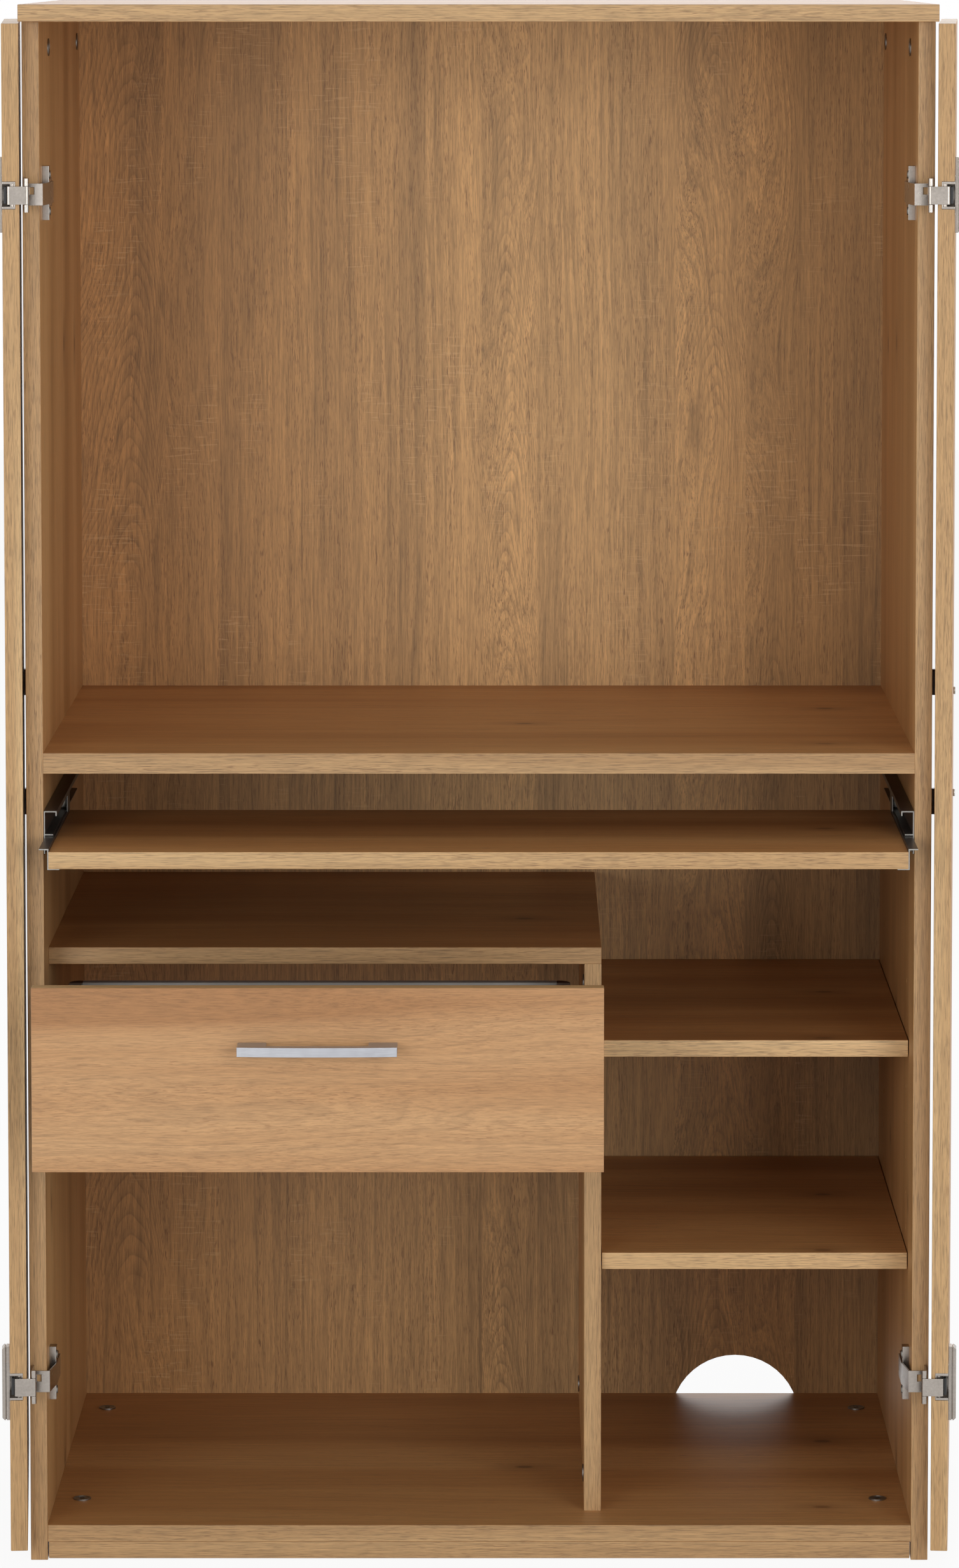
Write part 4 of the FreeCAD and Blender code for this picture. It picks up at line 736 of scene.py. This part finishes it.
def studio_floor():
    """A pale floor that the camera sees as nearly white, with the object's shadow left on it."""
    finish = Finish("studio_floor", roughness=0.7)
    cloud = finish.marks((0.3, 0.3, 0.3))
    finish.colour(finish.ramp(cloud, (0.3, srgb(240, 240, 239)), (0.7, srgb(247, 247, 247))))
    path = finish.nodes.new("ShaderNodeLightPath")
    seen = path.outputs["Is Camera Ray"]
    for ray in ("Is Glossy Ray", "Is Transmission Ray"):
        seen = finish.worked("MAXIMUM", seen, path.outputs[ray])
    white = finish.nodes.new("ShaderNodeEmission")
    mix = finish.nodes.new("ShaderNodeMixShader")
    finish.links.new(finish.worked("MULTIPLY", seen, FLOOR_WHITENESS), mix.inputs["Fac"])
    finish.links.new(finish.shader.outputs[0], mix.inputs[1])
    finish.links.new(white.outputs[0], mix.inputs[2])
    finish.links.new(mix.outputs[0], finish.nodes["Material Output"].inputs["Surface"])
    return finish.material


nothing_selected()
bpy.ops.mesh.primitive_plane_add(size=FLOOR_SIZE, location=(0, 0, -FLOOR_DROP))
FLOOR = bpy.context.object
FLOOR.name = "studio_floor"
settle(FLOOR)
FLOOR.data.materials.append(studio_floor())


# Each softbox: its place, its width and height, and its power in watts.
SOFTBOXES = {
    "front_left_softbox": ((-2.2, -4.6, 1.25), 2.2, 2.2, 67),
    "front_right_softbox": ((2.3, -4.6, 1.25), 2.2, 2.2, 71),
    "upper_softbox": ((0.7, -3.0, 2.9), 2.2, 1.6, 8),
    "left_softbox": ((-3.4, 0.2, 1.7), 2.0, 2.4, 22),
    "right_softbox": ((3.4, 0.2, 1.7), 2.0, 2.4, 22),
    "back_softbox": ((0.4, 3.6, 2.4), 2.4, 2.4, 34),
}
AIM = (0.0, 0.1, 0.75)
AMBIENT_LIGHT = 0.26


def softbox(name, place, width, height, power):
    """A large soft lamp that looks at the cabinet's middle."""
    lamp = bpy.data.lights.new(name, "AREA")
    lamp.shape = "RECTANGLE"
    lamp.size = width
    lamp.size_y = height
    lamp.energy = power
    holder = bpy.data.objects.new(name, lamp)
    bpy.context.scene.collection.objects.link(holder)
    holder.location = place
    holder.rotation_euler = (Vector(AIM) - Vector(place)).to_track_quat("-Z", "Y").to_euler()


for name, (place, width, height, power) in SOFTBOXES.items():
    softbox(name, place, width, height, power)


def studio_world():
    """A white background to look at, and a dimmer even light from all round."""
    world = bpy.data.worlds.new("studio")
    world.use_nodes = True
    nodes = world.node_tree.nodes
    links = world.node_tree.links
    nodes.clear()
    path = nodes.new("ShaderNodeLightPath")
    seen = nodes.new("ShaderNodeBackground")
    seen.inputs["Color"].default_value = (1, 1, 1, 1)
    seen.inputs["Strength"].default_value = 1.0
    ambient = nodes.new("ShaderNodeBackground")
    ambient.inputs["Color"].default_value = (1, 1, 1, 1)
    ambient.inputs["Strength"].default_value = AMBIENT_LIGHT
    looked_at = path.outputs["Is Camera Ray"]
    for ray in ("Is Glossy Ray", "Is Transmission Ray"):
        either = nodes.new("ShaderNodeMath")
        either.operation = "MAXIMUM"
        links.new(looked_at, either.inputs[0])
        links.new(path.outputs[ray], either.inputs[1])
        looked_at = either.outputs[0]
    mix = nodes.new("ShaderNodeMixShader")
    links.new(looked_at, mix.inputs["Fac"])
    links.new(ambient.outputs[0], mix.inputs[1])
    links.new(seen.outputs[0], mix.inputs[2])
    out = nodes.new("ShaderNodeOutputWorld")
    links.new(mix.outputs[0], out.inputs["Surface"])
    bpy.context.scene.world = world


studio_world()

FOCAL_LENGTH = 140.2
SENSOR_WIDTH = 36.0
SHIFT = (-0.0206, -0.22)
CAMERA_ASIDE = 0.0289
CAMERA_AHEAD = 5.3264
CAMERA_HEIGHT = 1.4222
CAMERA_TILT = 4.548

LENS = bpy.data.cameras.new("camera")
LENS.lens = FOCAL_LENGTH
LENS.sensor_width = SENSOR_WIDTH
LENS.shift_x, LENS.shift_y = SHIFT
CAMERA = bpy.data.objects.new("camera", LENS)
bpy.context.scene.collection.objects.link(CAMERA)
CAMERA.location = (CAMERA_ASIDE, FRONT_PLANE - CAMERA_AHEAD, CAMERA_HEIGHT)
CAMERA.rotation_euler = (math.radians(90 - CAMERA_TILT), 0, 0)
bpy.context.scene.camera = CAMERA
bpy.context.scene.view_settings.view_transform = "Standard"
